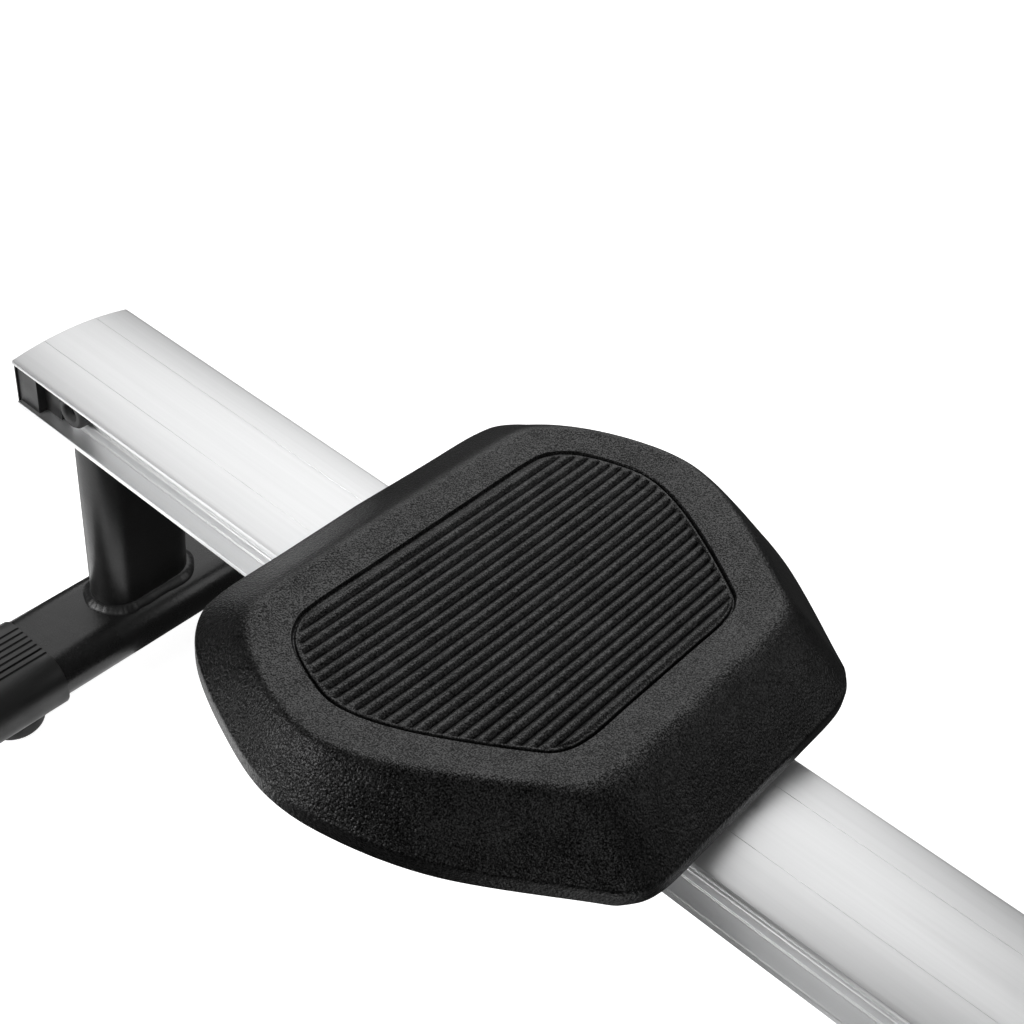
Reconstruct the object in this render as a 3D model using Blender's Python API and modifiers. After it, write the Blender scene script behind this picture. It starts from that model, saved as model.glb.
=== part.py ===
"""A folding rowing machine with an aluminium rail, a sliding seat and a magnetic flywheel unit.

Frame: metres, +Z up, +X from the rail's rear end towards the flywheel. +Y is on the rower's left when the
rower faces the flywheel, so "left" pieces are at +Y. The origin is on the floor, halfway along the machine.
Every length along X below is a distance from the rear end plane, placed by at().
"""

import math

import bmesh
import bpy
from mathutils import Matrix, Vector

# Overall
LENGTH = 1.876
X_REAR = -LENGTH / 2
GAP = 0.0003

# Rail, a hollow extrusion with a roller channel in each side
RAIL_START = 0.0012
RAIL_END = 1.220
RAIL_HALF = 0.045
RAIL_BOTTOM = 0.2097
RAIL_CHANNEL_FLOOR = 0.2124
RAIL_CHANNEL_TOP = 0.2430
RAIL_LIP_TOP = 0.2450
RAIL_CROWN = 0.2500
RAIL_WEB = 0.0295
RAIL_CORE_HALF = 0.0265
RAIL_CORE = (0.2127, 0.2455)
CAP_FLANGE = 0.0009
CAP_INSET = 0.0018
CAP_LUGS = ((0.0207, 0.042), (0.036, 0.036))
CROWN_STEPS = 12

# Rear leg and the flat oval cross tubes
TUBE_WIDTH = 0.072
TUBE_HEIGHT = 0.036
TUBE_BASE = 0.025
TUBE_TOP = TUBE_BASE + TUBE_HEIGHT
TUBE_WALL = 0.002
POST_WIDTH = 0.075
POST_DEPTH = 0.0375
REAR_TUBE_AT = 0.054
REAR_TUBE_HALF = 0.150
MID_TUBE_AT = 1.300
FRONT_TUBE_AT = 1.775
FRAME_TUBE_HALF = 0.188
FOOT_CAP_LENGTH = 0.072
CAP_SKIN = 0.0015
CAP_END = 0.012
REAR_CAP_BASE = 0.0225
REAR_CAP_CORNER = 0.016
FRAME_CAP_CORNER = 0.008
FOOT_RADIUS = 0.0225
REAR_FOOT_Y = 0.114

# Seat and its carriage
SEAT_CENTRE = 0.402
SEAT_RISE = 0.05
SEAT_RIM = 0.292
SEAT_PANEL = 0.288
SEAT_BASE = 0.2565
SEAT_LIP = 0.2655
SEAT_WALL = (
    (0.02, SEAT_BASE), (0.0, 0.2585), (0.0, SEAT_LIP), (0.30, 0.2770), (0.70, 0.2885), (1.0, SEAT_RIM),
)
SEAT_RECESS = ((0.290, 0.515), 0.056)
CARRIAGE_TOP = 0.2620
CARRIAGE_LOW = 0.2140
CARRIAGE_REACH = 0.105
ROLLER_RADIUS = 0.014
ROLLER_Z = RAIL_CHANNEL_FLOOR + GAP + ROLLER_RADIUS
ROLLER_SPREAD = 0.078
CARRIAGE_INNER = 0.049
CARRIAGE_SHEET = 0.003
AXLE_RADIUS = 0.004
BUMPER_RADIUS = 0.01125
BUMPER_Z = 0.228
BUMPERS_AT = (0.050, 1.136)

# Main frame, fold hinge and pedals
BEAM_HALF = 0.030
BEAM_BASE = TUBE_TOP + GAP
BEAM_TOP = BEAM_BASE + 0.050
BEAM = (1.2255, 1.8300)
PIVOT_AT = 1.245
PIVOT_Z = 0.215
PIVOT_RADIUS = 0.006
EAR = (0.0310, 0.0360)
LOCK_AT = (1.262, 0.175)
PEDAL_AT = (1.430, 0.210)
PEDAL_AXLE_RADIUS = 0.008
PEDAL_TILT = 50.0
PEDAL_Y = 0.133
WHEEL_AT = (1.846, 0.040)
WHEEL_RADIUS = 0.030

# Flywheel unit
FLYWHEEL_AT = (1.700, 0.270)
FLYWHEEL_RADIUS = 0.125
DRIVE_AT = (1.570, 0.440)
DRIVE_RADIUS = 0.075
FLYWHEEL_PULLEY = 0.018
BELT_Y = 0.022
REEL_RADIUS = 0.045
SHAFT_RADIUS = 0.006
PLATE = (0.0303, 0.0343)
GUIDE_AT = (1.430, 0.4745)
GUIDE_RADIUS = 0.010
STRAP_Z = DRIVE_AT[1] + REEL_RADIUS + 0.0008
MAGNET_PIVOT_AT = (1.815, 0.350)
SHELL_HALF = 0.061
SHELL_WALL = 0.003
MAST_AT = 1.680
MAST = (0.445, 0.860)
KNOB_Z = 0.640

# Handle and console
HANDLE_AT = (1.392, 0.485)
HANDLE_TUBE = 0.011
HANDLE_HALF = 0.225
GRIP = (0.105, 0.222)
GRIP_SWEEP = 10.0
CONSOLE_HINGE_Z = 0.878
CONSOLE_TILT = 20.0

PARTS = "rowing_machine"
CUTTERS = "cutters"
MERGE = 0.0001
ROUND = 20
SMALL_ROUND = 12
BORE_SIDES = 16


def clear_scene():
    for obj in list(bpy.data.objects):
        bpy.data.objects.remove(obj, do_unlink=True)


def collection(name):
    made = bpy.data.collections.new(name)
    bpy.context.scene.collection.children.link(made)
    return made


def material(name, colour, roughness, metallic=0.0):
    made = bpy.data.materials.new(name)
    made.use_nodes = True
    shader = made.node_tree.nodes["Principled BSDF"]
    shader.inputs["Base Color"].default_value = (*colour, 1.0)
    shader.inputs["Roughness"].default_value = roughness
    shader.inputs["Metallic"].default_value = metallic
    return made


def at(along, across=0.0, up=0.0):
    """A world point, from a distance along the machine, a distance across it and a height."""
    return Vector((X_REAR + along, across, up))


def add(name, mesh, place, finish):
    obj = bpy.data.objects.new(name, mesh)
    bpy.data.collections[PARTS].objects.link(obj)
    obj.location = place
    if finish:
        mesh.materials.append(bpy.data.materials[finish])
    mesh.shade_smooth()
    mesh.set_sharp_from_angle(angle=math.radians(35))
    return obj


def from_bmesh(name, bm, place, finish):
    mesh = bpy.data.meshes.new(name)
    bmesh.ops.recalc_face_normals(bm, faces=bm.faces)
    bm.to_mesh(mesh)
    bm.free()
    return add(name, mesh, place, finish)


def bevel(obj, width, segments=2):
    modifier = obj.modifiers.new("round_edges", "BEVEL")
    modifier.width = width
    modifier.segments = segments
    modifier.limit_method = "ANGLE"
    modifier.angle_limit = math.radians(40)
    return obj


def block(name, low, high, finish=None, rounding=0.0, segments=2):
    """A box from its lowest to its highest corner, with its origin in its middle."""
    low, high = Vector(low), Vector(high)
    bm = bmesh.new()
    bmesh.ops.create_cube(bm, size=1.0)
    bmesh.ops.scale(bm, vec=high - low, verts=bm.verts)
    obj = from_bmesh(name, bm, (low + high) / 2, finish)
    if rounding:
        bevel(obj, rounding, segments)
    return obj


AXIS_TURNS = {
    "X": Matrix.Rotation(math.radians(90), 4, "Y"),
    "Y": Matrix.Rotation(math.radians(-90), 4, "X"),
    "Z": Matrix.Identity(4),
}


def rod(name, place, axis, half, radius, finish=None, sides=ROUND):
    """A cylinder along a world axis, its origin in its middle."""
    bm = bmesh.new()
    bmesh.ops.create_cone(
        bm, cap_ends=True, segments=sides, radius1=radius, radius2=radius, depth=2 * half
    )
    bmesh.ops.transform(bm, matrix=AXIS_TURNS[axis], verts=bm.verts)
    return from_bmesh(name, bm, place, finish)


def turned(name, place, axis, profile, finish=None, steps=ROUND):
    """A turned solid. The profile is (radius, along) points, its outer side running top to bottom."""
    mesh = bpy.data.meshes.new(name)
    closed = profile[0][0] > 0
    count = len(profile)
    edges = [(i, i + 1) for i in range(count - 1)]
    if closed:
        edges.append((count - 1, 0))
    mesh.from_pydata([(r, 0.0, z) for r, z in profile], edges, [])
    obj = bpy.data.objects.new(name, mesh)
    bpy.data.collections[PARTS].objects.link(obj)
    screw = obj.modifiers.new("turn", "SCREW")
    screw.steps = steps
    screw.render_steps = steps
    screw.use_merge_vertices = True
    screw.merge_threshold = MERGE / 10
    return settle(obj, place, axis, finish)


def settle(obj, place, axis, finish):
    """Replaces an object by its evaluated, welded mesh, turned to an axis and put in its place."""
    name = obj.name
    shaped = bpy.data.meshes.new_from_object(obj.evaluated_get(bpy.context.evaluated_depsgraph_get()))
    bm = bmesh.new()
    bm.from_mesh(shaped)
    bmesh.ops.remove_doubles(bm, verts=bm.verts, dist=MERGE / 10)
    turn = AXIS_TURNS[axis] if isinstance(axis, str) else axis
    bmesh.ops.transform(bm, matrix=turn, verts=bm.verts)
    bpy.data.objects.remove(obj, do_unlink=True)
    bpy.data.meshes.remove(shaped)
    return from_bmesh(name, bm, place, finish)


SIDE = Matrix.Rotation(math.radians(90), 4, "X")
SECTION = Matrix.Rotation(math.radians(90), 4, "Z") @ SIDE
PLAN = Matrix.Identity(4)


def prism(name, place, plane, loops, half, finish=None):
    """A flat outline, with any holes, given a thickness of twice half. plane is SIDE, SECTION or PLAN."""
    curve = bpy.data.curves.new(name, "CURVE")
    curve.dimensions = "2D"
    curve.fill_mode = "BOTH"
    curve.extrude = half
    for loop in loops:
        spline = curve.splines.new("POLY")
        spline.points.add(len(loop) - 1)
        for point, (u, v) in zip(spline.points, loop):
            point.co = (u, v, 0.0, 1.0)
        spline.use_cyclic_u = True
    obj = bpy.data.objects.new(name, curve)
    bpy.data.collections[PARTS].objects.link(obj)
    bpy.context.view_layer.update()
    return settle(obj, place, plane, finish)


def tube_path(name, points, radius, finish=None, resolution=2):
    """A round bar or hose along a path of world points, with its ends closed."""
    curve = bpy.data.curves.new(name, "CURVE")
    curve.dimensions = "3D"
    curve.bevel_depth = radius
    curve.bevel_resolution = resolution
    curve.use_fill_caps = True
    spline = curve.splines.new("POLY")
    spline.points.add(len(points) - 1)
    for point, place in zip(spline.points, points):
        point.co = (*place, 1.0)
    obj = bpy.data.objects.new(name, curve)
    bpy.data.collections[PARTS].objects.link(obj)
    bpy.context.view_layer.update()
    return settle(obj, (0, 0, 0), PLAN, finish)


def to_cutters(obj):
    bpy.data.collections[PARTS].objects.unlink(obj)
    bpy.data.collections[CUTTERS].objects.link(obj)
    obj.hide_render = True
    obj.display_type = "WIRE"


def combine(obj, operation, others):
    for other in others:
        modifier = obj.modifiers.new(operation.lower(), "BOOLEAN")
        modifier.operation = operation
        modifier.solver = "EXACT"
        modifier.object = other
        to_cutters(other)
    return obj


def join(obj, *others):
    return combine(obj, "UNION", others)


def cut(obj, *others):
    return combine(obj, "DIFFERENCE", others)


def ring(centre, radius, sides=BORE_SIDES):
    """A circle's points, for a bore."""
    return arc(centre, radius, 0, 360 - 360 / sides, sides - 1)


def arc(centre, radius, start, end, steps):
    """Points on an arc, from a start to an end angle in degrees."""
    points = []
    for i in range(steps + 1):
        angle = math.radians(start + (end - start) * i / steps)
        points.append((centre[0] + radius * math.cos(angle), centre[1] + radius * math.sin(angle)))
    return points


def oval(width, height, steps=8):
    """A flat oval outline: two half circles joined by straight sides, wider than it is high."""
    radius = height / 2
    reach = width / 2 - radius
    return arc((reach, 0), radius, -90, 90, steps) + arc((-reach, 0), radius, 90, 270, steps)


def rounded(low, high, radius, steps=4):
    """A rectangle with rounded corners, anticlockwise from the lower right corner."""
    (u0, v0), (u1, v1) = low, high
    corners = (((u1, v0), -90), ((u1, v1), 0), ((u0, v1), 90), ((u0, v0), 180))
    points = []
    for (u, v), start in corners:
        centre = (u - radius if u == u1 else u + radius, v - radius if v == v1 else v + radius)
        points += arc(centre, radius, start, start + 90, steps)
    return points


def smooth_line(points, steps):
    """A smooth line through points, a few steps to each span (Catmull-Rom)."""
    points = [Vector(p) for p in points]
    ends = [2 * points[0] - points[1], *points, 2 * points[-1] - points[-2]]
    line = []
    for i in range(1, len(ends) - 2):
        a, b, c, d = ends[i - 1 : i + 3]
        for k in range(steps):
            t = k / steps
            bend = (2 * a - 5 * b + 4 * c - d) * t**2 + (3 * b - a - 3 * c + d) * t**3
            line.append(0.5 * (2 * b + (c - a) * t + bend))
    line.append(points[-1])
    return line


def loft(name, place, rings, finish):
    """A closed solid through rings of points, each ring with the same number of points."""
    bm = bmesh.new()
    made = [[bm.verts.new(p) for p in ring] for ring in rings]
    count = len(made[0])
    for lower, upper in zip(made, made[1:]):
        for i in range(count):
            j = (i + 1) % count
            bm.faces.new((lower[i], lower[j], upper[j], upper[i]))
    bm.faces.new(list(reversed(made[0])))
    bm.faces.new(made[-1])
    return from_bmesh(name, bm, place, finish)


SIDES = (("left", 1), ("right", -1))


# ---------------------------------------------------------------- rail and rear leg


def crown_line(inset=0.0):
    """The rail's crowned top, from right to left, drawn in by an inset."""
    crown = RAIL_CROWN - RAIL_LIP_TOP
    radius = (RAIL_HALF**2 + crown**2) / (2 * crown)
    reach = math.degrees(math.asin((RAIL_HALF - inset) / radius))
    return arc((0, RAIL_CROWN - radius - inset), radius, 90 - reach, 90 + reach, CROWN_STEPS)


def rail_outline():
    right = [
        (RAIL_HALF, RAIL_BOTTOM),
        (RAIL_HALF, RAIL_CHANNEL_FLOOR),
        (RAIL_WEB, RAIL_CHANNEL_FLOOR),
        (RAIL_WEB, RAIL_CHANNEL_TOP),
        (RAIL_HALF, RAIL_CHANNEL_TOP),
    ]
    left = [(-u, v) for u, v in reversed(right)]
    return right + crown_line() + left


def rail():
    middle = (RAIL_START + RAIL_END) / 2
    low, high = RAIL_CORE
    core = [(-RAIL_CORE_HALF, low), (RAIL_CORE_HALF, low), (RAIL_CORE_HALF, high), (-RAIL_CORE_HALF, high)]
    half = (RAIL_END - RAIL_START) / 2
    return prism("rail", at(middle), SECTION, [rail_outline(), core], half, "aluminium")


def rail_end_cap():
    """A thin plate just inside the rail's outline, with a plug in its core and lugs in its channels."""
    reach = RAIL_HALF - CAP_INSET
    base = RAIL_BOTTOM + CAP_INSET
    outline = [(reach, base), *crown_line(CAP_INSET), (-reach, base)]
    cap = prism("rail_end_cap", at(CAP_FLANGE / 2), SECTION, [outline], CAP_FLANGE / 2, "black_plastic")
    plug_low = at(CAP_FLANGE / 2, -RAIL_CORE_HALF + GAP, RAIL_CORE[0] + GAP)
    plug = block("cap_plug", plug_low, at(0.030, RAIL_CORE_HALF - GAP, RAIL_CORE[1] - GAP))
    lugs = []
    for side, sign in SIDES:
        for step, (depth, across) in enumerate(CAP_LUGS):
            near = sign * (RAIL_WEB + GAP)
            far = sign * across
            low = at(CAP_FLANGE / 2, min(near, far), RAIL_CHANNEL_FLOOR + GAP * (1 + step))
            high = at(depth, max(near, far), RAIL_CHANNEL_TOP - GAP * (1 + step))
            lugs.append(block(f"cap_lug_{side}_{step}", low, high))
    return join(cap, plug, *lugs)


def bumpers():
    """Rubber end stops in the channels, each with a recess for its screw."""
    half = 0.0047
    recess = 0.0063
    profile = [
        (0.0, -0.0010),
        (recess, -0.0010),
        (recess, half),
        (0.0092, half),
        (BUMPER_RADIUS, 0.0030),
        (BUMPER_RADIUS, -half),
        (0.0, -half),
    ]
    made = []
    for end, along in zip(("rear", "front"), BUMPERS_AT):
        for side, sign in SIDES:
            bumper = turned(f"{end}_bumper_{side}", at(along, 0, BUMPER_Z), "Y", profile, "rubber")
            bumper.location.y = sign * (RAIL_WEB + GAP + half)
            if sign < 0:
                bumper.data.transform(Matrix.Rotation(math.pi, 4, "X"))
            made.append(bumper)
    return made


def cross_tube(name, along, half):
    loops = [oval(TUBE_WIDTH, TUBE_HEIGHT), oval(TUBE_WIDTH - 2 * TUBE_WALL, TUBE_HEIGHT - 2 * TUBE_WALL)]
    return prism(name, at(along, 0, (TUBE_BASE + TUBE_TOP) / 2), SIDE, loops, half, "powder_coat")


def rear_post():
    base = TUBE_TOP + GAP
    top = RAIL_BOTTOM - GAP
    loops = [oval(POST_WIDTH, POST_DEPTH), oval(POST_WIDTH - 2 * TUBE_WALL, POST_DEPTH - 2 * TUBE_WALL)]
    quarter = Matrix.Rotation(math.radians(90), 4, "Z")
    place = at(REAR_TUBE_AT, 0, (base + top) / 2)
    return prism("rear_post", place, quarter, loops, (top - base) / 2, "powder_coat")


def cap_outline(base, corner):
    """The section of a foot cap: round at the top like the tube, with its own corners at the bottom."""
    reach = TUBE_WIDTH / 2 + CAP_SKIN
    radius = TUBE_HEIGHT / 2 + CAP_SKIN
    top = TUBE_TOP + CAP_SKIN - radius
    points = arc((-reach + corner, base + corner), corner, 180, 270, 3)
    points += arc((reach - corner, base + corner), corner, 270, 360, 3)
    points += arc((reach - radius, top), radius, 0, 90, 6)
    points += arc((-reach + radius, top), radius, 90, 180, 6)
    return points


def foot_cap(name, along, sign, tube_half, base, corner, arms=()):
    """A plastic cap that slips over the end of a cross tube, with any arms moulded to it."""
    outer = tube_half + CAP_END
    middle = sign * (outer - FOOT_CAP_LENGTH / 2)
    outline = cap_outline(base, corner)
    cap = prism(name, at(along, middle, 0), SIDE, [outline], FOOT_CAP_LENGTH / 2, "black_plastic")
    pocket_half = (FOOT_CAP_LENGTH - CAP_END + GAP) / 2
    pocket_middle = sign * (tube_half + GAP - pocket_half - 0.0005)
    pocket = prism(
        f"{name}_pocket",
        at(along, pocket_middle, (TUBE_BASE + TUBE_TOP) / 2),
        SIDE,
        [oval(TUBE_WIDTH + 2 * GAP, TUBE_HEIGHT + 2 * GAP)],
        pocket_half + 0.0005,
    )
    return cut(join(cap, *arms), pocket)


def rear_leg():
    made = [rear_post(), cross_tube("rear_crossbar", REAR_TUBE_AT, REAR_TUBE_HALF)]
    foot = [
        (0.0, REAR_CAP_BASE - GAP),
        (FOOT_RADIUS, REAR_CAP_BASE - GAP),
        (FOOT_RADIUS, 0.0060),
        (FOOT_RADIUS - 0.0012, 0.0028),
        (FOOT_RADIUS - 0.0040, 0.0008),
        (FOOT_RADIUS - 0.0080, 0.0),
        (0.0, 0.0),
    ]
    for side, sign in SIDES:
        name = f"rear_cap_{side}"
        made.append(foot_cap(name, REAR_TUBE_AT, sign, REAR_TUBE_HALF, REAR_CAP_BASE, REAR_CAP_CORNER))
        made.append(turned(f"rear_foot_{side}", at(REAR_TUBE_AT, sign * REAR_FOOT_Y), "Z", foot, "rubber"))
    return made


def rail_hinge_block():
    """The steel end of the rail: a plug inside it and a rounded eye for the fold pivot."""
    eye_radius = 0.020
    half = 0.0304
    eye = arc((0, 0), eye_radius, -90, 90, 10)
    eye += [(RAIL_END + GAP - PIVOT_AT, eye_radius), (RAIL_END + GAP - PIVOT_AT, -eye_radius)]
    hole = ring((0, 0), PIVOT_RADIUS + 0.0004)
    piece = prism("rail_hinge_block", at(PIVOT_AT, 0, PIVOT_Z), SIDE, [eye, hole], half, "steel")
    plug_low = at(1.160, -RAIL_CORE_HALF + GAP, RAIL_CORE[0] + GAP)
    plug_high = at(RAIL_END + 0.008, RAIL_CORE_HALF - GAP, PIVOT_Z + eye_radius - 0.002)
    return join(piece, block("hinge_plug", plug_low, plug_high))


# ---------------------------------------------------------------- seat


def mirrored(half_outline):
    """A closed outline from points on the +Y side, rear to front, and their mirror image."""
    other = [Vector((p.x, -p.y)) for p in reversed(half_outline) if p.y > 1e-6]
    return [p for p in half_outline] + other


def seat_outline(points):
    return mirrored(smooth_line([(x - SEAT_CENTRE, y) for x, y in points], 2))


SEAT_EDGE = (
    (0.263, 0.0), (0.263, 0.052), (0.2635, 0.104), (0.2695, 0.126), (0.290, 0.1445), (0.331, 0.1605),
    (0.372, 0.1675), (0.412, 0.1635), (0.462, 0.1445), (0.519, 0.106), (0.533, 0.0945), (0.5405, 0.077),
    (0.5415, 0.038), (0.5415, 0.0),
)
SEAT_CREASE_LINE = (
    (0.297, 0.0), (0.297, 0.041), (0.2975, 0.082), (0.301, 0.107), (0.316, 0.1245), (0.341, 0.1385),
    (0.372, 0.1465), (0.398, 0.1440), (0.430, 0.1285), (0.470, 0.1015), (0.489, 0.0865), (0.4965, 0.068),
    (0.4975, 0.034), (0.4975, 0.0),
)
SEAT_PANEL_LINE = (
    (0.3205, 0.0), (0.3205, 0.042), (0.3205, 0.083), (0.3238, 0.0985), (0.3345, 0.110), (0.355, 0.1187),
    (0.3745, 0.1221), (0.397, 0.1163), (0.424, 0.1025), (0.458, 0.080), (0.4675, 0.070), (0.471, 0.055),
    (0.471, 0.028), (0.471, 0.0),
)


def seat_height(height, along):
    """A height on the seat. Above the lip it rises towards the front, by its share of the rim's slope."""
    lift = max(0.0, (height - SEAT_LIP) / (SEAT_RIM - SEAT_LIP))
    return height + lift * SEAT_RISE * along


def seat_pad():
    edge = seat_outline(SEAT_EDGE)
    crease = seat_outline(SEAT_CREASE_LINE)
    panel = seat_outline(SEAT_PANEL_LINE)
    rings = []
    for share, height in SEAT_WALL:
        line = [a.lerp(b, share) for a, b in zip(edge, crease)]
        rings.append([(*p, seat_height(height, p.x)) for p in line])
    rings.append([(*p, SEAT_PANEL + SEAT_RISE * p.x) for p in panel])
    pad = loft("seat_pad", at(SEAT_CENTRE), rings, "foam")
    (rear, front), half = SEAT_RECESS
    recess = block("seat_recess", at(rear, -half, SEAT_BASE - 0.005), at(front, half, CARRIAGE_TOP + GAP))
    return cut(pad, recess)


def seat_carriage():
    """A bent steel plate over the rail, with a flange and two stub axles on each side."""
    top, low = CARRIAGE_TOP, CARRIAGE_LOW
    ceiling = top - CARRIAGE_SHEET
    outer = CARRIAGE_INNER + CARRIAGE_SHEET
    sheet = [(outer, low), (outer, top), (-outer, top), (-outer, low), (-CARRIAGE_INNER, low)]
    sheet += [(-CARRIAGE_INNER, ceiling), (CARRIAGE_INNER, ceiling), (CARRIAGE_INNER, low)]
    piece = prism("seat_carriage", at(SEAT_CENTRE), SECTION, [sheet], CARRIAGE_REACH, "steel")
    inner = RAIL_WEB + 0.0008
    half = (outer + 0.003 - inner) / 2
    stubs = []
    for side, sign in SIDES:
        for end, reach in (("front", ROLLER_SPREAD), ("rear", -ROLLER_SPREAD)):
            place = at(SEAT_CENTRE + reach, sign * (inner + half), ROLLER_Z)
            stubs.append(rod(f"stub_{end}_{side}", place, "Y", half, AXLE_RADIUS, sides=SMALL_ROUND))
            head = at(SEAT_CENTRE + reach, sign * (outer + 0.0010), ROLLER_Z)
            stubs.append(rod(f"head_{end}_{side}", head, "Y", 0.0020, 0.0075, sides=SMALL_ROUND))
    return join(piece, *stubs)


def seat_rollers():
    bore = AXLE_RADIUS + 0.0003
    profile = [
        (bore, 0.0055),
        (0.0085, 0.0055),
        (0.0085, 0.0060),
        (ROLLER_RADIUS - 0.0015, 0.0060),
        (ROLLER_RADIUS, 0.0045),
        (ROLLER_RADIUS, -0.0045),
        (ROLLER_RADIUS - 0.0015, -0.0060),
        (bore, -0.0060),
    ]
    made = []
    for side, sign in SIDES:
        for end, reach in (("front", ROLLER_SPREAD), ("rear", -ROLLER_SPREAD)):
            place = at(SEAT_CENTRE + reach, sign * 0.0380, ROLLER_Z)
            made.append(turned(f"seat_roller_{end}_{side}", place, "Y", profile, "white_plastic"))
    return made


# ---------------------------------------------------------------- main frame


def main_beam():
    half = (BEAM[1] - BEAM[0]) / 2
    high = BEAM_TOP - BEAM_BASE
    outer = rounded((-BEAM_HALF, -high / 2), (BEAM_HALF, high / 2), 0.006, 3)
    inner_half = BEAM_HALF - TUBE_WALL
    inner = rounded((-inner_half, -high / 2 + TUBE_WALL), (inner_half, high / 2 - TUBE_WALL), 0.004, 3)
    place = at(sum(BEAM) / 2, 0, (BEAM_BASE + BEAM_TOP) / 2)
    return prism("main_beam", place, SECTION, [outer, inner], half, "powder_coat")


def hinge_bracket():
    """Two ears on a base plate that hold the rail's fold pivot and its lock."""
    base_z = BEAM_TOP + GAP
    ear_half = (EAR[1] - EAR[0]) / 2
    drop = base_z - PIVOT_Z
    outline = arc((0, 0), 0.020, 0, 180, 10) + [(-0.0190, drop), (0.060, drop), (0.052, drop + 0.040)]
    pivot_hole = ring((0, 0), PIVOT_RADIUS + 0.0004)
    lock_centre = (LOCK_AT[0] - PIVOT_AT, LOCK_AT[1] - PIVOT_Z)
    lock_hole = ring(lock_centre, 0.0044, SMALL_ROUND)
    ears = []
    for side, sign in SIDES:
        place = at(PIVOT_AT, sign * (EAR[0] + EAR[1]) / 2, PIVOT_Z)
        loops = [outline, pivot_hole, lock_hole]
        ears.append(prism(f"ear_{side}", place, SIDE, loops, ear_half, "powder_coat"))
    low, high = at(1.2262, -EAR[1], base_z), at(1.3048, EAR[1], base_z + 0.005)
    plate = block("hinge_bracket", low, high, "powder_coat")
    return join(plate, *ears)


def hinge_bolt():
    shank = rod("hinge_bolt", at(PIVOT_AT, 0, PIVOT_Z), "Y", 0.0420, PIVOT_RADIUS, "steel")
    heads = []
    for side, sign in SIDES:
        place = at(PIVOT_AT, sign * (EAR[1] + GAP + 0.0030), PIVOT_Z)
        heads.append(rod(f"bolt_head_{side}", place, "Y", 0.0030, 0.0110, sides=6))
    return join(shank, *heads)


def rail_lock_knob():
    """A pull knob on the right ear, its pin drawn as resting inside the ear."""
    outer = -EAR[1]
    points = [
        (0.0, -EAR[0] - GAP),
        (0.0040, -EAR[0] - GAP),
        (0.0040, outer - GAP),
        (0.0090, outer - GAP),
        (0.0090, outer - 0.0100),
        (0.0060, outer - 0.0120),
        (0.0060, outer - 0.0150),
        (0.0150, outer - 0.0190),
        (0.0150, outer - 0.0310),
        (0.0110, outer - 0.0350),
        (0.0, outer - 0.0350),
    ]
    place = at(LOCK_AT[0], 0, LOCK_AT[1])
    return turned("rail_lock_knob", place, "Y", points, "black_plastic")


def frame_feet():
    made = [cross_tube("mid_crossbar", MID_TUBE_AT, FRAME_TUBE_HALF)]
    made.append(cross_tube("front_crossbar", FRONT_TUBE_AT, FRAME_TUBE_HALF))
    for side, sign in SIDES:
        made.append(foot_cap(f"mid_cap_{side}", MID_TUBE_AT, sign, FRAME_TUBE_HALF, 0.0, FRAME_CAP_CORNER))
        made.append(front_cap(side, sign))
        made.append(transport_wheel(side, sign))
    return made


def front_cap(side, sign):
    """A foot cap with a fork for a transport wheel."""
    reach = FRONT_TUBE_AT + 0.030 - WHEEL_AT[0]
    arm = arc((0, 0), 0.012, -90, 90, 8) + [(reach, 0.012), (reach, -0.012)]
    hole = ring((0, 0), 0.0054)
    arms = []
    for name, across in (("outer", 0.1870), ("inner", 0.1530)):
        place = at(WHEEL_AT[0], sign * across, WHEEL_AT[1])
        arms.append(prism(f"fork_{name}_{side}", place, SIDE, [arm, hole], 0.0030))
    return foot_cap(f"front_cap_{side}", FRONT_TUBE_AT, sign, FRAME_TUBE_HALF, 0.0, FRAME_CAP_CORNER, arms)


def transport_wheel(side, sign):
    half = 0.0115
    pin_half = 0.0180
    profile = [
        (0.0, pin_half),
        (0.0050, pin_half),
        (0.0050, half),
        (0.0120, half - 0.003),
        (0.0210, half - 0.003),
        (0.0230, half),
        (0.0275, half),
        (WHEEL_RADIUS, half - 0.003),
    ]
    profile += [(r, -z) for r, z in reversed(profile)]
    return turned(f"wheel_{side}", at(WHEEL_AT[0], sign * 0.170, WHEEL_AT[1]), "Y", profile, "rubber")


def pedal_support():
    low = at(PEDAL_AT[0] - 0.018, -0.022, BEAM_TOP + GAP)
    support = block("pedal_support", low, at(PEDAL_AT[0] + 0.018, 0.022, 0.234), "powder_coat", 0.003)
    bore = rod("pedal_support_bore", at(PEDAL_AT[0], 0, PEDAL_AT[1]), "Y", 0.030, PEDAL_AXLE_RADIUS + GAP)
    return cut(support, bore)


def pedal_axle():
    axle = rod("pedal_axle", at(PEDAL_AT[0], 0, PEDAL_AT[1]), "Y", 0.1920, PEDAL_AXLE_RADIUS, "steel")
    ends = []
    for side, sign in SIDES:
        place = at(PEDAL_AT[0], sign * 0.1910, PEDAL_AT[1])
        ends.append(rod(f"axle_end_{side}", place, "Y", 0.0020, 0.0125))
    return join(axle, *ends)


# ---------------------------------------------------------------- pedals


def tilted(obj, tilt, place):
    """Turns a piece about Y, in degrees, and puts its origin in its place."""
    obj.data.transform(Matrix.Rotation(math.radians(tilt), 4, "Y"))
    obj.location = place
    return obj


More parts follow.
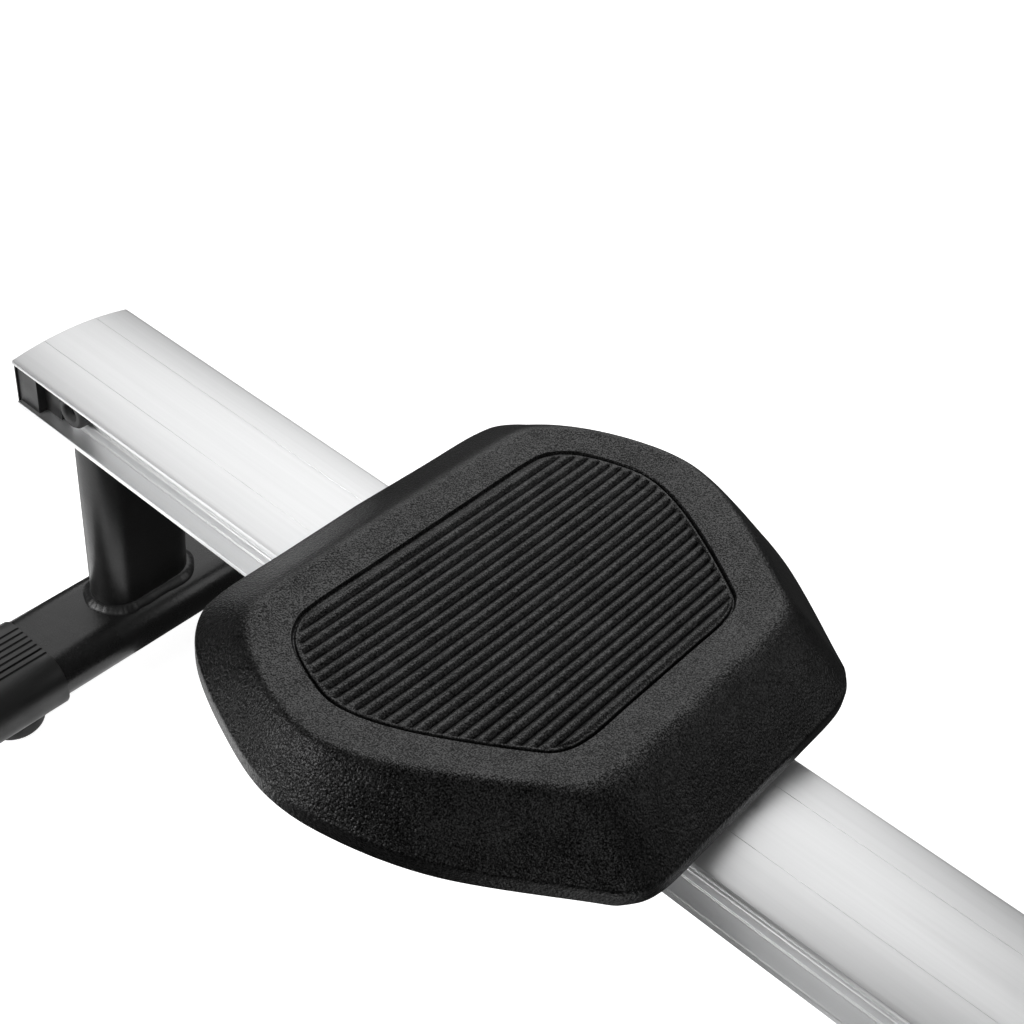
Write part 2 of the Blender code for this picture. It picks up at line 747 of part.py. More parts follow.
def footplate(side, sign):
    """A foot rest with a heel cup and a bored boss, modelled flat with its toes towards +X."""
    place = at(PEDAL_AT[0], sign * PEDAL_Y, PEDAL_AT[1])
    tread = block("footplate_" + side, (-0.150, -0.055, 0.017), (0.150, 0.055, 0.027), "black_plastic")
    web = block(f"web_{side}", (-0.024, -0.050, 0.0), (0.024, 0.050, 0.022))
    boss = rod(f"boss_{side}", (0, 0, 0), "Y", 0.050, 0.017)
    heel = arc((0, 0), 0.055, 90, 270, 12) + [(0.040, -0.055), (0.040, -0.049)]
    heel += arc((0, 0), 0.049, 270, 90, 12) + [(0.040, 0.049), (0.040, 0.055)]
    cup = prism(f"heel_cup_{side}", (-0.0955, 0, 0.0445), PLAN, [heel], 0.0255)
    bore = rod(f"pedal_bore_{side}", (0, 0, 0), "Y", 0.060, PEDAL_AXLE_RADIUS + 0.0005)
    tread = cut(join(tread, web, boss, cup), bore)
    for piece in (tread, web, boss, cup, bore):
        centre = piece.location.copy()
        piece.data.transform(Matrix.Translation(centre))
        tilted(piece, -PEDAL_TILT, place)
    return tread


def foot_strap(side, sign):
    """A webbing arch over the foot, from one edge of the footplate to the other."""
    thick = 0.0030
    half_width = 0.0565

    def arch(reach, crown, count=16):
        points = []
        for i in range(count + 1):
            angle = math.pi * i / count
            across = reach * math.copysign(abs(math.cos(angle)) ** 0.7, math.cos(angle))
            points.append((across, 0.024 + crown * math.sin(angle) ** 0.8))
        return points

    foot, crown = 0.012, 0.070
    reach = half_width + thick
    outer = [(reach, foot), *arch(reach, crown + thick), (-reach, foot)]
    inner = [(-half_width, foot), *reversed(arch(half_width, crown)), (half_width, foot)]
    strap = prism("foot_strap_" + side, (0, 0, 0), SECTION, [outer + inner], 0.0175, "webbing")
    strap.data.transform(Matrix.Translation((0.047, 0, 0)))
    return tilted(strap, -PEDAL_TILT, at(PEDAL_AT[0], sign * PEDAL_Y, PEDAL_AT[1]))


def pedals():
    made = []
    for side, sign in SIDES:
        made.append(footplate(side, sign))
        made.append(foot_strap(side, sign))
    return made


# ---------------------------------------------------------------- flywheel unit


def relative(points, origin):
    return [(u - origin[0], v - origin[1]) for u, v in points]


def bearing_frame():
    """Two plates on a foot plate, which carry the shafts, the strap guide and the mast."""
    base_z = BEAM_TOP + GAP
    outline = [
        (1.535, base_z),
        (1.812, base_z),
        (1.836, 0.345),
        (1.824, 0.366),
        (1.715, 0.497),
        (1.418, 0.497),
        (1.418, 0.4490),
        (1.500, 0.4490),
        (1.535, 0.400),
    ]
    windows = [rounded((1.650, 0.215), (1.665, 0.330), 0.005, 2)]
    holes = []
    for centre in (FLYWHEEL_AT, DRIVE_AT, MAGNET_PIVOT_AT):
        holes.append(ring(centre, SHAFT_RADIUS + 0.0004))
    holes.append(ring(GUIDE_AT, 0.0045, SMALL_ROUND))
    centre = FLYWHEEL_AT
    loops = [relative(loop, centre) for loop in [outline, *windows, *holes]]
    half = (PLATE[1] - PLATE[0]) / 2
    plates = []
    for side, sign in SIDES:
        place = at(centre[0], sign * (PLATE[0] + half), centre[1])
        plates.append(prism(f"plate_{side}", place, SIDE, loops, half))
    foot = block("bearing_frame", at(1.536, -PLATE[1], base_z), at(1.811, PLATE[1], base_z + 0.004), "steel")
    return join(foot, *plates)


def flywheel():
    """The wheel, its hub and the small belt pulley turned as one piece."""
    bore = SHAFT_RADIUS + GAP
    profile = [
        (bore, 0.0285),
        (FLYWHEEL_PULLEY + 0.0015, 0.0285),
        (FLYWHEEL_PULLEY + 0.0015, 0.0275),
        (FLYWHEEL_PULLEY - 0.0010, 0.0262),
        (FLYWHEEL_PULLEY - 0.0010, 0.0178),
        (FLYWHEEL_PULLEY + 0.0015, 0.0165),
        (FLYWHEEL_PULLEY + 0.0015, 0.0040),
        (0.0880, 0.0040),
        (0.0920, 0.0100),
        (FLYWHEEL_RADIUS, 0.0100),
        (FLYWHEEL_RADIUS, -0.0120),
        (0.0920, -0.0120),
        (0.0880, -0.0060),
        (0.0200, -0.0060),
        (0.0200, -0.0280),
        (bore, -0.0280),
    ]
    wheel = turned("flywheel", at(FLYWHEEL_AT[0], 0, FLYWHEEL_AT[1]), "Y", profile, "cast_iron", 32)
    holes = []
    for i in range(5):
        angle = math.radians(72 * i)
        place = at(FLYWHEEL_AT[0] + 0.056 * math.cos(angle), 0, FLYWHEEL_AT[1] + 0.056 * math.sin(angle))
        holes.append(rod(f"flywheel_hole_{i}", place, "Y", 0.020, 0.018, sides=SMALL_ROUND))
    return cut(wheel, *holes)


def drive_pulley():
    bore = SHAFT_RADIUS + GAP
    profile = [
        (bore, 0.0280),
        (0.0130, 0.0280),
        (0.0130, 0.0240),
        (DRIVE_RADIUS - 0.008, 0.0240),
        (DRIVE_RADIUS - 0.008, 0.0272),
        (DRIVE_RADIUS + 0.0015, 0.0272),
        (DRIVE_RADIUS - 0.0010, 0.0262),
        (DRIVE_RADIUS - 0.0010, 0.0178),
        (DRIVE_RADIUS + 0.0015, 0.0168),
        (DRIVE_RADIUS - 0.008, 0.0168),
        (DRIVE_RADIUS - 0.008, 0.0200),
        (0.0130, 0.0200),
        (0.0130, 0.0166),
        (bore, 0.0166),
    ]
    return turned("drive_pulley", at(DRIVE_AT[0], 0, DRIVE_AT[1]), "Y", profile, "black_plastic", 24)


def strap_reel():
    bore = SHAFT_RADIUS + GAP
    flange = REEL_RADIUS + 0.006
    profile = [
        (bore, 0.0160),
        (flange, 0.0160),
        (flange, 0.0140),
        (REEL_RADIUS, 0.0140),
        (REEL_RADIUS, -0.0140),
        (flange, -0.0140),
        (flange, -0.0160),
        (bore, -0.0160),
    ]
    return turned("strap_reel", at(DRIVE_AT[0], 0, DRIVE_AT[1]), "Y", profile, "black_plastic", 24)


def shaft(name, centre, half=0.0400):
    piece = rod(name, at(centre[0], 0, centre[1]), "Y", half, SHAFT_RADIUS, "steel", BORE_SIDES)
    nuts = []
    for side, sign in SIDES:
        place = at(centre[0], sign * (PLATE[1] + GAP + 0.0025), centre[1])
        nuts.append(rod(f"{name}_nut_{side}", place, "Y", 0.0025, 0.0100, sides=6))
    return join(piece, *nuts)


def belt_loop(gap, thick):
    """The belt's outline: two arcs round the pulleys, joined by straight runs."""
    big = DRIVE_RADIUS - 0.0010 + gap
    small = FLYWHEEL_PULLEY - 0.0010 + gap
    run = Vector(FLYWHEEL_AT) - Vector(DRIVE_AT)
    heading = math.degrees(math.atan2(run.y, run.x))
    spread = math.degrees(math.acos((big - small) / run.length))

    def loop(extra):
        points = arc(DRIVE_AT, big + extra, heading + spread, heading + 360 - spread, 22)
        return points + arc(FLYWHEEL_AT, small + extra, heading - spread, heading + spread, 10)

    return loop(thick), loop(0.0)


def drive_belt():
    outer, inner = belt_loop(GAP, 0.0022)
    centre = DRIVE_AT
    place = at(centre[0], BELT_Y, centre[1])
    loops = [relative(outer, centre), relative(inner, centre)]
    return prism("drive_belt", place, SIDE, loops, 0.0036, "rubber")


def magnet_bracket():
    """A curved yoke over the flywheel's rim, hung on its own pivot pins at its front end."""
    pivot = MAGNET_PIVOT_AT
    inner, outer = FLYWHEEL_RADIUS + 0.0040, FLYWHEEL_RADIUS + 0.0130
    outline = arc(FLYWHEEL_AT, outer, 38, 98, 14) + arc(FLYWHEEL_AT, inner, 98, 30, 14)
    boss = rod("magnet_boss", at(pivot[0], 0, pivot[1]), "Y", 0.0170, 0.0110)
    place = at(pivot[0], 0, pivot[1])
    yoke = prism("magnet_bracket", place, SIDE, [relative(outline, pivot)], 0.0140, "steel")
    pins = rod("magnet_pins", place, "Y", 0.0360, SHAFT_RADIUS)
    return join(yoke, boss, pins)


def strap_guide():
    """A roller with stub ends that carries the strap out of the casing."""
    profile = [
        (0.0, 0.0345),
        (0.0040, 0.0345),
        (0.0040, 0.0290),
        (GUIDE_RADIUS + 0.002, 0.0290),
        (GUIDE_RADIUS + 0.002, 0.0150),
        (GUIDE_RADIUS, 0.0130),
    ]
    profile += [(r, -z) for r, z in reversed(profile)]
    return turned("strap_guide_roller", at(GUIDE_AT[0], 0, GUIDE_AT[1]), "Y", profile, "white_plastic")


def shell_outline(inset):
    """The casing's side outline, drawn in by an inset."""
    low, high = 0.1180 + inset, 0.5400 - inset
    rear, front = 1.4560 + inset, 1.8600 - inset
    points = arc((rear + 0.020, low + 0.020), 0.020, 180, 270, 4)
    points += arc((front - 0.060, low + 0.060), 0.060, 270, 360, 6)
    points += arc((front - 0.110, high - 0.160), 0.110, 0, 55, 6)
    points += arc((1.640, high - 0.070), 0.070, 60, 100, 4)
    points += arc((rear + 0.045, high - 0.060), 0.045, 95, 180, 6)
    return points


def casing():
    """Two moulded shells, left and right, open where the frame, strap and mast pass."""
    centre = (1.660, 0.330)
    made = []
    for side, sign in SIDES:
        half = (SHELL_HALF - GAP / 2) / 2
        place = at(centre[0], sign * (GAP / 2 + half), centre[1])
        outline = relative(shell_outline(0.0), centre)
        shell = prism(f"casing_{side}", place, SIDE, [outline], half, "black_plastic")
        bevel(shell, 0.007, 3)
        depth = SHELL_HALF - SHELL_WALL
        hollow_place = at(centre[0], sign * (depth - 0.010) / 2, centre[1])
        loops = [relative(shell_outline(SHELL_WALL), centre)]
        hollow = prism(f"hollow_{side}", hollow_place, SIDE, loops, (depth + 0.010) / 2)
        frame_gap = block(f"frame_gap_{side}", at(1.529, -0.040, 0.100), at(1.842, 0.040, 0.130))
        strap_gap = block(f"strap_gap_{side}", at(1.440, -0.037, 0.442), at(1.480, 0.037, 0.512))
        mast_gap = block(f"mast_gap_{side}", at(1.662, -0.0275, 0.460), at(1.698, 0.0275, 0.560))
        made.append(cut(shell, hollow, frame_gap, strap_gap, mast_gap))
    return made


def mast():
    """The upright for the console, with two ears at its top."""
    middle = sum(MAST) / 2
    outer = rounded((-0.015, -0.025), (0.015, 0.025), 0.005, 3)
    inner = rounded((-0.013, -0.023), (0.013, 0.023), 0.0035, 3)
    tube = prism("mast", at(MAST_AT, 0, middle), PLAN, [outer, inner], (MAST[1] - MAST[0]) / 2, "powder_coat")
    drop = MAST[1] - 0.020 - CONSOLE_HINGE_Z
    ear = arc((0, 0), 0.0115, 0, 180, 8) + [(-0.0115, drop), (0.0115, drop)]
    ears = []
    for side, sign in SIDES:
        place = at(MAST_AT, sign * 0.0225, CONSOLE_HINGE_Z)
        ears.append(prism(f"mast_ear_{side}", place, SIDE, [ear, ring((0, 0), 0.0045, SMALL_ROUND)], 0.0020))
    stem_hole = rod("knob_hole", at(MAST_AT - 0.015, 0, KNOB_Z), "X", 0.006, 0.0050)
    return cut(join(tube, *ears), stem_hole)


def tension_knob():
    points = [
        (0.0, 0.0080),
        (0.0040, 0.0080),
        (0.0040, -GAP),
        (0.0235, -GAP),
        (0.0235, -0.0060),
        (0.0200, -0.0090),
        (0.0190, -0.0220),
        (0.0165, -0.0250),
        (0.0, -0.0250),
    ]
    knob = turned("tension_knob", at(MAST_AT - 0.015, 0, KNOB_Z), "X", points, "black_plastic", 24)
    place = at(MAST_AT - 0.015 - 0.0250, 0, KNOB_Z + 0.0095)
    low, high = place - Vector((0.0008, 0.0012, 0.0045)), place + Vector((0.003, 0.0012, 0.0045))
    pointer = block("knob_pointer", low, high)
    return join(knob, pointer)


def brake_cable():
    """The sleeve from the tension knob down the mast to the magnet bracket."""
    route = [
        (MAST_AT - 0.004, 0.0, KNOB_Z - 0.010),
        (MAST_AT + 0.001, 0.0, 0.600),
        (MAST_AT + 0.003, 0.0, 0.550),
        (MAST_AT + 0.003, 0.0, 0.490),
        (MAST_AT + 0.004, 0.0, 0.450),
        (MAST_AT + 0.012, 0.0, 0.432),
        (MAST_AT + 0.026, 0.0, 0.426),
    ]
    line = smooth_line([at(*point) for point in route], 3)
    return tube_path("brake_cable", line, 0.0022, "rubber", 1)


def handle_rest():
    """A hat-shaped shelf under the strap guide, where the handle lies."""
    top = HANDLE_AT[1] - 0.0155 - GAP
    base = block("handle_rest", at(1.4000, -0.090, 0.4455), at(1.4480, 0.090, 0.4487), "steel")
    pads = []
    for side, sign in SIDES:
        near, far = sign * 0.050, sign * 0.090
        low = at(1.3740, min(near, far), 0.4455)
        pads.append(block(f"rest_pad_{side}", low, at(1.4100, max(near, far), top)))
    return join(base, *pads)


# ---------------------------------------------------------------- handle and strap


def handle_bar():
    """A bar with swept ends and a yoke for the strap at its middle."""
    sweep = math.radians(GRIP_SWEEP)
    bend = GRIP[0] - 0.010
    tip = HANDLE_HALF
    back = (tip - bend) * math.tan(sweep)
    line = []
    for across in (-tip, -bend - 0.008, -bend, -bend + 0.008, bend - 0.008, bend, bend + 0.008, tip):
        past = max(0.0, abs(across) - bend)
        ease = 0.0004 if abs(abs(across) - bend) < 1e-6 else 0.0
        line.append(at(HANDLE_AT[0] - past / (tip - bend) * back - ease, across, HANDLE_AT[1]))
    bar = tube_path("handle_bar", line, HANDLE_TUBE, "steel", 4)
    low = at(HANDLE_AT[0] - 0.0155, -0.018, HANDLE_AT[1] - 0.0150)
    yoke = block("strap_yoke", low, at(HANDLE_AT[0] + 0.0175, 0.018, HANDLE_AT[1] + 0.0150), None, 0.004)
    return join(bar, yoke)


def grips():
    inner = HANDLE_TUBE + 0.0004
    half = (GRIP[1] - GRIP[0]) / 2 / math.cos(math.radians(GRIP_SWEEP))
    profile = [(inner, half), (0.0140, half), (0.0155, half - 0.003)]
    profile += [(0.0155, -half + 0.003), (0.0140, -half), (inner, -half)]
    bend = GRIP[0] - 0.010
    middle = (GRIP[0] + GRIP[1]) / 2
    back = (middle - bend) * math.tan(math.radians(GRIP_SWEEP))
    made = []
    for side, sign in SIDES:
        place = at(HANDLE_AT[0] - back, sign * middle, HANDLE_AT[1])
        grip = turned(f"grip_{side}", place, "Y", profile, "foam")
        grip.data.transform(Matrix.Rotation(math.radians(sign * GRIP_SWEEP), 4, "Z"))
        made.append(grip)
    return made


def pull_strap():
    low = at(HANDLE_AT[0] + 0.0178, -0.012, STRAP_Z - 0.0005)
    return block("pull_strap", low, at(DRIVE_AT[0], 0.012, STRAP_Z + 0.0005), "webbing")


# ---------------------------------------------------------------- console


def lean(piece):
    """Moves a piece from the console's own upright frame to its place on the mast."""
    centre = piece.location.copy()
    piece.data.transform(Matrix.Translation(centre))
    tilted(piece, CONSOLE_TILT, at(MAST_AT, 0, CONSOLE_HINGE_Z))
    return piece


def console():
    """The display case, its screen and two push buttons, modelled upright facing -X."""
    case = block("console_case", (-0.022, -0.105, 0.022), (0.012, 0.105, 0.150), "black_plastic", 0.006, 3)
    neck = block("console_neck", (-0.010, -0.018, 0.0), (0.010, 0.018, 0.030))
    barrel = rod("console_barrel", (0, 0, 0), "Y", 0.0200, 0.0100)
    pins = rod("console_pins", (0, 0, 0), "Y", 0.0243, 0.0040)
    pocket = block("screen_pocket", (-0.030, -0.080, 0.062), (-0.019, 0.080, 0.138))
    wells = []
    buttons = []
    for side, sign in SIDES:
        wells.append(rod(f"button_well_{side}", (-0.0210, sign * 0.030, 0.042), "X", 0.0060, 0.0084))
        profile = [(0.0, 0.0025), (0.0080, 0.0025), (0.0080, -0.0032), (0.0065, -0.0045), (0.0, -0.0045)]
        button = turned(f"console_button_{side}", (-0.0200, sign * 0.030, 0.042), "X", profile, "rubber")
        buttons.append(button)
    cut(join(case, neck, barrel, pins), pocket, *wells)
    low = (-0.0210, -0.080 + GAP, 0.062 + GAP)
    screen = block("console_screen", low, (-0.019 - GAP, 0.080 - GAP, 0.138 - GAP), "screen")
    for piece in (case, neck, barrel, pins, pocket, screen, *wells, *buttons):
        lean(piece)
    return [case, screen, *buttons]


# ---------------------------------------------------------------- assembly


def materials():
    material("aluminium", (0.60, 0.61, 0.63), 0.30, 1.0)
    material("powder_coat", (0.018, 0.018, 0.019), 0.42, 0.1)
    material("black_plastic", (0.022, 0.022, 0.024), 0.48)
    material("foam", (0.030, 0.030, 0.032), 0.72)
    material("rubber", (0.020, 0.020, 0.020), 0.80)
    material("steel", (0.45, 0.45, 0.46), 0.38, 1.0)
    material("cast_iron", (0.16, 0.16, 0.17), 0.55, 0.8)
    material("white_plastic", (0.75, 0.75, 0.73), 0.45)
    material("webbing", (0.025, 0.025, 0.027), 0.85)
    material("screen", (0.020, 0.028, 0.026), 0.12)


def group(name, place, pieces):
    """Hangs pieces on an empty at their joint, leaving them where they are."""
    empty = bpy.data.objects.new(name, None)
    empty.empty_display_size = 0.03
    empty.location = place
    bpy.data.collections[PARTS].objects.link(empty)
    for piece in pieces:
        piece.parent = empty
        piece.matrix_parent_inverse = Matrix.Translation(-Vector(place))
    return empty


def build():
    clear_scene()
    collection(PARTS)
    collection(CUTTERS)
    materials()
    rail_pieces = [rail(), rail_end_cap(), *bumpers(), *rear_leg(), rail_hinge_block()]
    group("rail_joint", at(PIVOT_AT, 0, PIVOT_Z), rail_pieces)
    group("seat_joint", at(SEAT_CENTRE, 0, ROLLER_Z), [seat_pad(), seat_carriage(), *seat_rollers()])
    main_beam()
    hinge_bracket()
    hinge_bolt()
    rail_lock_knob()
    frame_feet()
    pedal_support()
    pedal_axle()
    pedals()
    bearing_frame()
    flywheel()
    drive_pulley()
    strap_reel()
    shaft("flywheel_axle", FLYWHEEL_AT)
    shaft("drive_axle", DRIVE_AT)
    drive_belt()
    magnet_bracket()
    strap_guide()
    casing()
    mast()
    tension_knob()
    brake_cable()
    handle_rest()
    group("handle_joint", at(*HANDLE_AT[:1], 0, HANDLE_AT[1]), [handle_bar(), *grips(), pull_strap()])
    group("console_joint", at(MAST_AT, 0, CONSOLE_HINGE_Z), console())


build()
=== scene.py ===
"""The looks of a folding rowing machine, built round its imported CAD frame.

Lengths are metres. "along" is a distance from the rail's rear end plane, and the left side is +Y.
"""

import math

import bmesh
import bpy
import numpy as np
from mathutils import Matrix, Vector, noise
from mathutils.geometry import delaunay_2d_cdt


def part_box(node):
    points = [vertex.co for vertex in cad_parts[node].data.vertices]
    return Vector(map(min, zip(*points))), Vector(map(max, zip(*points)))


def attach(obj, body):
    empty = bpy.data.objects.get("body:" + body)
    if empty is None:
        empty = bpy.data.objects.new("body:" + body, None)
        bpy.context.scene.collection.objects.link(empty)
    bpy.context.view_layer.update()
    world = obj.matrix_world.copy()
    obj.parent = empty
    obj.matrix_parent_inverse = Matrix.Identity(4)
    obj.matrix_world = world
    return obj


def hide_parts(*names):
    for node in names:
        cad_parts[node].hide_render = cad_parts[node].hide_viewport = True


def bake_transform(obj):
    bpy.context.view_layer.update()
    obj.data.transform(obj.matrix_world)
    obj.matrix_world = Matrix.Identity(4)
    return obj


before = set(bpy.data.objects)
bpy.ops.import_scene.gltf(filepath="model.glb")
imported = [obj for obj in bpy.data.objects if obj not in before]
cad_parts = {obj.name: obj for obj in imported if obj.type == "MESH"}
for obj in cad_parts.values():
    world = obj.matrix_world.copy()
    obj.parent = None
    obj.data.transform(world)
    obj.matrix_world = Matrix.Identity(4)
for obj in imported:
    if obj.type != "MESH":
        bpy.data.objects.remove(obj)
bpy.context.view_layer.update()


def rotation(degrees, axis):
    return Matrix.Rotation(math.radians(degrees), 4, axis)


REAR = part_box("rail_end_cap")[0].x
SIDES = (("left", 1), ("right", -1))
# Where flat outlines are drawn: seen from the side, seen from the front, and from above.
SIDE = rotation(90, "X")
SECTION = rotation(90, "Z") @ SIDE
PLAN = Matrix.Identity(4)
# From a turned profile's own axis, Z, to each axis.
TURNS = {"X": rotation(90, "Y"), "Y": rotation(-90, "X"), "Z": Matrix.Identity(4)}
# Edges steeper than this, in degrees, stay sharp.
SMOOTH_ANGLE = 38
# The pointiness at which wear starts, and at which it is full.
WORN_EDGE = (0.515, 0.60)


# ---------------------------------------------------------------- places


def at(along, across, up):
    return Vector((REAR + along, across, up))


def middle(node):
    low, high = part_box(node)
    return (low + high) / 2


# ---------------------------------------------------------------- outlines


def arc(centre, radius, start, end, steps):
    turns = [math.radians(start + (end - start) * i / steps) for i in range(steps + 1)]
    return [(centre[0] + radius * math.cos(a), centre[1] + radius * math.sin(a)) for a in turns]


def circle(centre, radius, steps):
    return arc(centre, radius, 0, 360 - 360 / steps, steps - 1)


def oval(width, height, steps, centre=(0.0, 0.0)):
    """A flat oval lying along its first axis."""
    radius = min(width, height) / 2
    reach = abs(width - height) / 2
    u, v = centre
    if width >= height:
        return arc((u + reach, v), radius, -90, 90, steps) + arc((u - reach, v), radius, 90, 270,
                                                                 steps)
    return arc((u, v + reach), radius, 0, 180, steps) + arc((u, v - reach), radius, 180, 360, steps)


def rectangle(low, high):
    return [(low[0], low[1]), (high[0], low[1]), (high[0], high[1]), (low[0], high[1])]


def soften(points, radius, closed, steps=4):
    """Rounds the corners of a line of points."""
    made = []
    count = len(points)
    for i, point in enumerate(points):
        p = Vector(point)
        if not closed and i in (0, count - 1):
            made.append(tuple(p))
            continue
        before, after = Vector(points[i - 1]) - p, Vector(points[(i + 1) % count]) - p
        if before.length < 1e-9 or after.length < 1e-9:
            continue
        if before.angle(-after) < math.radians(18):
            made.append(tuple(p))
            continue
        a = p + before.normalized() * min(radius, before.length * 0.45)
        b = p + after.normalized() * min(radius, after.length * 0.45)
        for k in range(steps + 1):
            t = k / steps
            made.append(tuple(a * (1 - t) ** 2 + p * 2 * t * (1 - t) + b * t * t))
    return made


def rounded(low, high, radius, steps=4):
    """A rectangle with round corners."""
    return soften(rectangle(low, high), radius, True, steps)


def smooth(points, steps):
    """A Catmull-Rom line through points."""
    points = [np.array(p, float) for p in points]
    ends = [2 * points[0] - points[1], *points, 2 * points[-1] - points[-2]]
    line = []
    for a, b, c, d in zip(ends, ends[1:], ends[2:], ends[3:]):
        for k in range(steps):
            t = k / steps
            line.append(0.5 * (2 * b + (c - a) * t + (2 * a - 5 * b + 4 * c - d) * t**2
                               + (3 * b - a - 3 * c + d) * t**3))
    line.append(points[-1])
    return line


def normals(loop, reach=1):
    """Each point's unit normal, to the left of the line between its neighbours at a reach."""
    along = np.roll(loop, -reach, 0) - np.roll(loop, reach, 0)
    along /= np.linalg.norm(along, axis=1)[:, None]
    return np.stack([-along[:, 1], along[:, 0]], 1)


def turned_size(node):
    """The radius and half length of a node that is turned round a sideways axis."""
    low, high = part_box(node)
    return (high.z - low.z) / 2, (high.y - low.y) / 2


def turned_area(loop):
    """Positive for an anticlockwise outline."""
    return sum(a[0] * b[1] - b[0] * a[1] for a, b in zip(loop, [*loop[1:], loop[0]]))


# ---------------------------------------------------------------- materials


class Surface:
    """A procedural material round one Principled shader, in the object's own coordinates."""

    def __init__(self, name, **constants):
        self.material = bpy.data.materials.new(name)
        self.material.use_nodes = True
        self.tree = self.material.node_tree
        self.shader = self.tree.nodes["Principled BSDF"]
        for key, value in constants.items():
            self.shader.inputs[key.replace("_", " ")].default_value = value

    def node(self, kind, inputs=None, **settings):
        made = self.tree.nodes.new("ShaderNode" + kind)
        for key, value in settings.items():
            setattr(made, key, value)
        for key, value in (inputs or {}).items():
            if isinstance(value, bpy.types.NodeSocket):
                self.tree.links.new(value, made.inputs[key])
            else:
                made.inputs[key].default_value = value
        return made

    def place(self, stretch=(1, 1, 1)):
        coords = self.node("TexCoord").outputs["Object"]
        return self.node("Mapping", {"Vector": coords, "Scale": stretch}).outputs["Vector"]

    def noise(self, scale, detail=3, stretch=(1, 1, 1), roughness=0.5):
        settings = {"Vector": self.place(stretch), "Scale": scale, "Detail": detail,
                    "Roughness": roughness}
        return self.node("TexNoise", settings).outputs["Fac"]

    def cells(self, scale, feature="F1"):
        settings = {"Vector": self.place(), "Scale": scale}
        return self.node("TexVoronoi", settings, feature=feature).outputs["Distance"]

    def waves(self, scale, axis, distortion):
        settings = {"Vector": self.place(), "Scale": scale, "Distortion": distortion}
        return self.node("TexWave", settings, bands_direction=axis).outputs["Fac"]

    def maths(self, operation, a, b):
        made = self.node("Math", operation=operation)
        for socket, value in zip(made.inputs, (a, b)):
            if isinstance(value, bpy.types.NodeSocket):
                self.tree.links.new(value, socket)
            else:
                socket.default_value = value
        return made.outputs["Value"]

    def plus(self, a, b, share):
        return self.maths("ADD", a, self.maths("MULTIPLY", b, share))

    def mixed(self, a, share_a, b, share_b):
        return self.plus(self.maths("MULTIPLY", a, share_a), b, share_b)

    def between(self, fac, low, high, start=0.3, end=0.7):
        settings = {"Value": fac, "From Min": start, "From Max": end, "To Min": low, "To Max": high}
        return self.node("MapRange", settings).outputs["Result"]

    def colour(self, fac, dark, light, start=0.3, end=0.7):
        ramp = self.node("ValToRGB", {"Fac": fac})
        for stop, place, shade in zip(ramp.color_ramp.elements, (start, end), (dark, light)):
            stop.position = place
            stop.color = (*shade, 1.0)
        return ramp.outputs["Color"]

    def worn(self, base, shade, amount):
        """Lightens what stands out, as handled edges do."""
        edge = self.node("NewGeometry").outputs["Pointiness"]
        patchy = self.maths("MULTIPLY", self.between(edge, 0.0, amount, *WORN_EDGE),
                            self.noise(90, 3))
        mix = self.node("Mix", data_type="RGBA")
        self.tree.links.new(patchy, mix.inputs[0])
        self.tree.links.new(base, mix.inputs[6])
        mix.inputs[7].default_value = (*shade, 1.0)
        return mix.outputs[2]

    def bump(self, height, distance, under=None):
        settings = {"Height": height, "Distance": distance, "Strength": 1.0}
        if under is not None:
            settings["Normal"] = under
        return self.node("Bump", settings).outputs["Normal"]

    def set(self, **links):
        for key, value in links.items():
            self.tree.links.new(value, self.shader.inputs[key.replace("_", " ")])
        return self.material


def grey(value, warm=0.0):
    return (value * (1 + warm), value, value * (1 - warm))


def seat_skin():
    """Grained skin, with a painted sheen: it reflects more where it faces up."""
    s = Surface("seat_skin", Specular_IOR_Level=0.82)
    pebbles = s.cells(640, "SMOOTH_F1")
    grain = s.noise(980, 1)
    coarse = s.noise(420, 2)
    height = s.plus(s.mixed(pebbles, 0.9, grain, 0.8), coarse, 0.5)
    fleck = s.mixed(grain, 0.75, s.noise(30, 5), 0.25)
    base = s.colour(fleck, grey(0.001), grey(0.014), 0.40, 0.66)
    # Painted shade: fine random specks dim the reflection, standing in for shade inside the grain's
    # pits.
    pit_shade = s.mixed(s.noise(1350, 0), 0.8, s.noise(60, 4), 0.2)
    # Painted sheen: the reflection is scaled by the object-space normal, full on faces that point
    # up and dimmed on the walls.
    facing = s.node("SeparateXYZ", {"Vector": s.node("TexCoord").outputs["Normal"]}).outputs["Z"]
    painted_top_sheen = s.between(facing, 0.37, 1.0, 0.86, 0.98)
    return s.set(
        Base_Color=s.worn(base, grey(0.030), 0.3),
        Specular_Tint=s.maths("MULTIPLY", s.between(pit_shade, 0.08, 1.0, 0.43, 0.62), painted_top_sheen),
        Roughness=s.between(grain, 0.28, 0.48),
        Normal=s.bump(height, 0.00034),
    )


def aluminium():
    s = Surface("anodised_aluminium", Metallic=0.85, Anisotropic=0.25)
    lines = s.noise(260, 4, stretch=(0.012, 1.0, 1.0), roughness=0.7)
    fine = s.noise(1500, 2, stretch=(0.02, 1.0, 1.0))
    clouds = s.noise(7, 4, stretch=(0.5, 1.0, 1.0))
    specks = s.noise(2600, 1)
    return s.set(
        Base_Color=s.colour(s.mixed(lines, 0.6, clouds, 0.4), grey(0.80, -0.004),
                            grey(0.88, -0.004)),
        Roughness=s.between(s.mixed(clouds, 0.6, specks, 0.4), 0.36, 0.47),
        Normal=s.bump(s.plus(lines, fine, 0.6), 0.000018),
    )


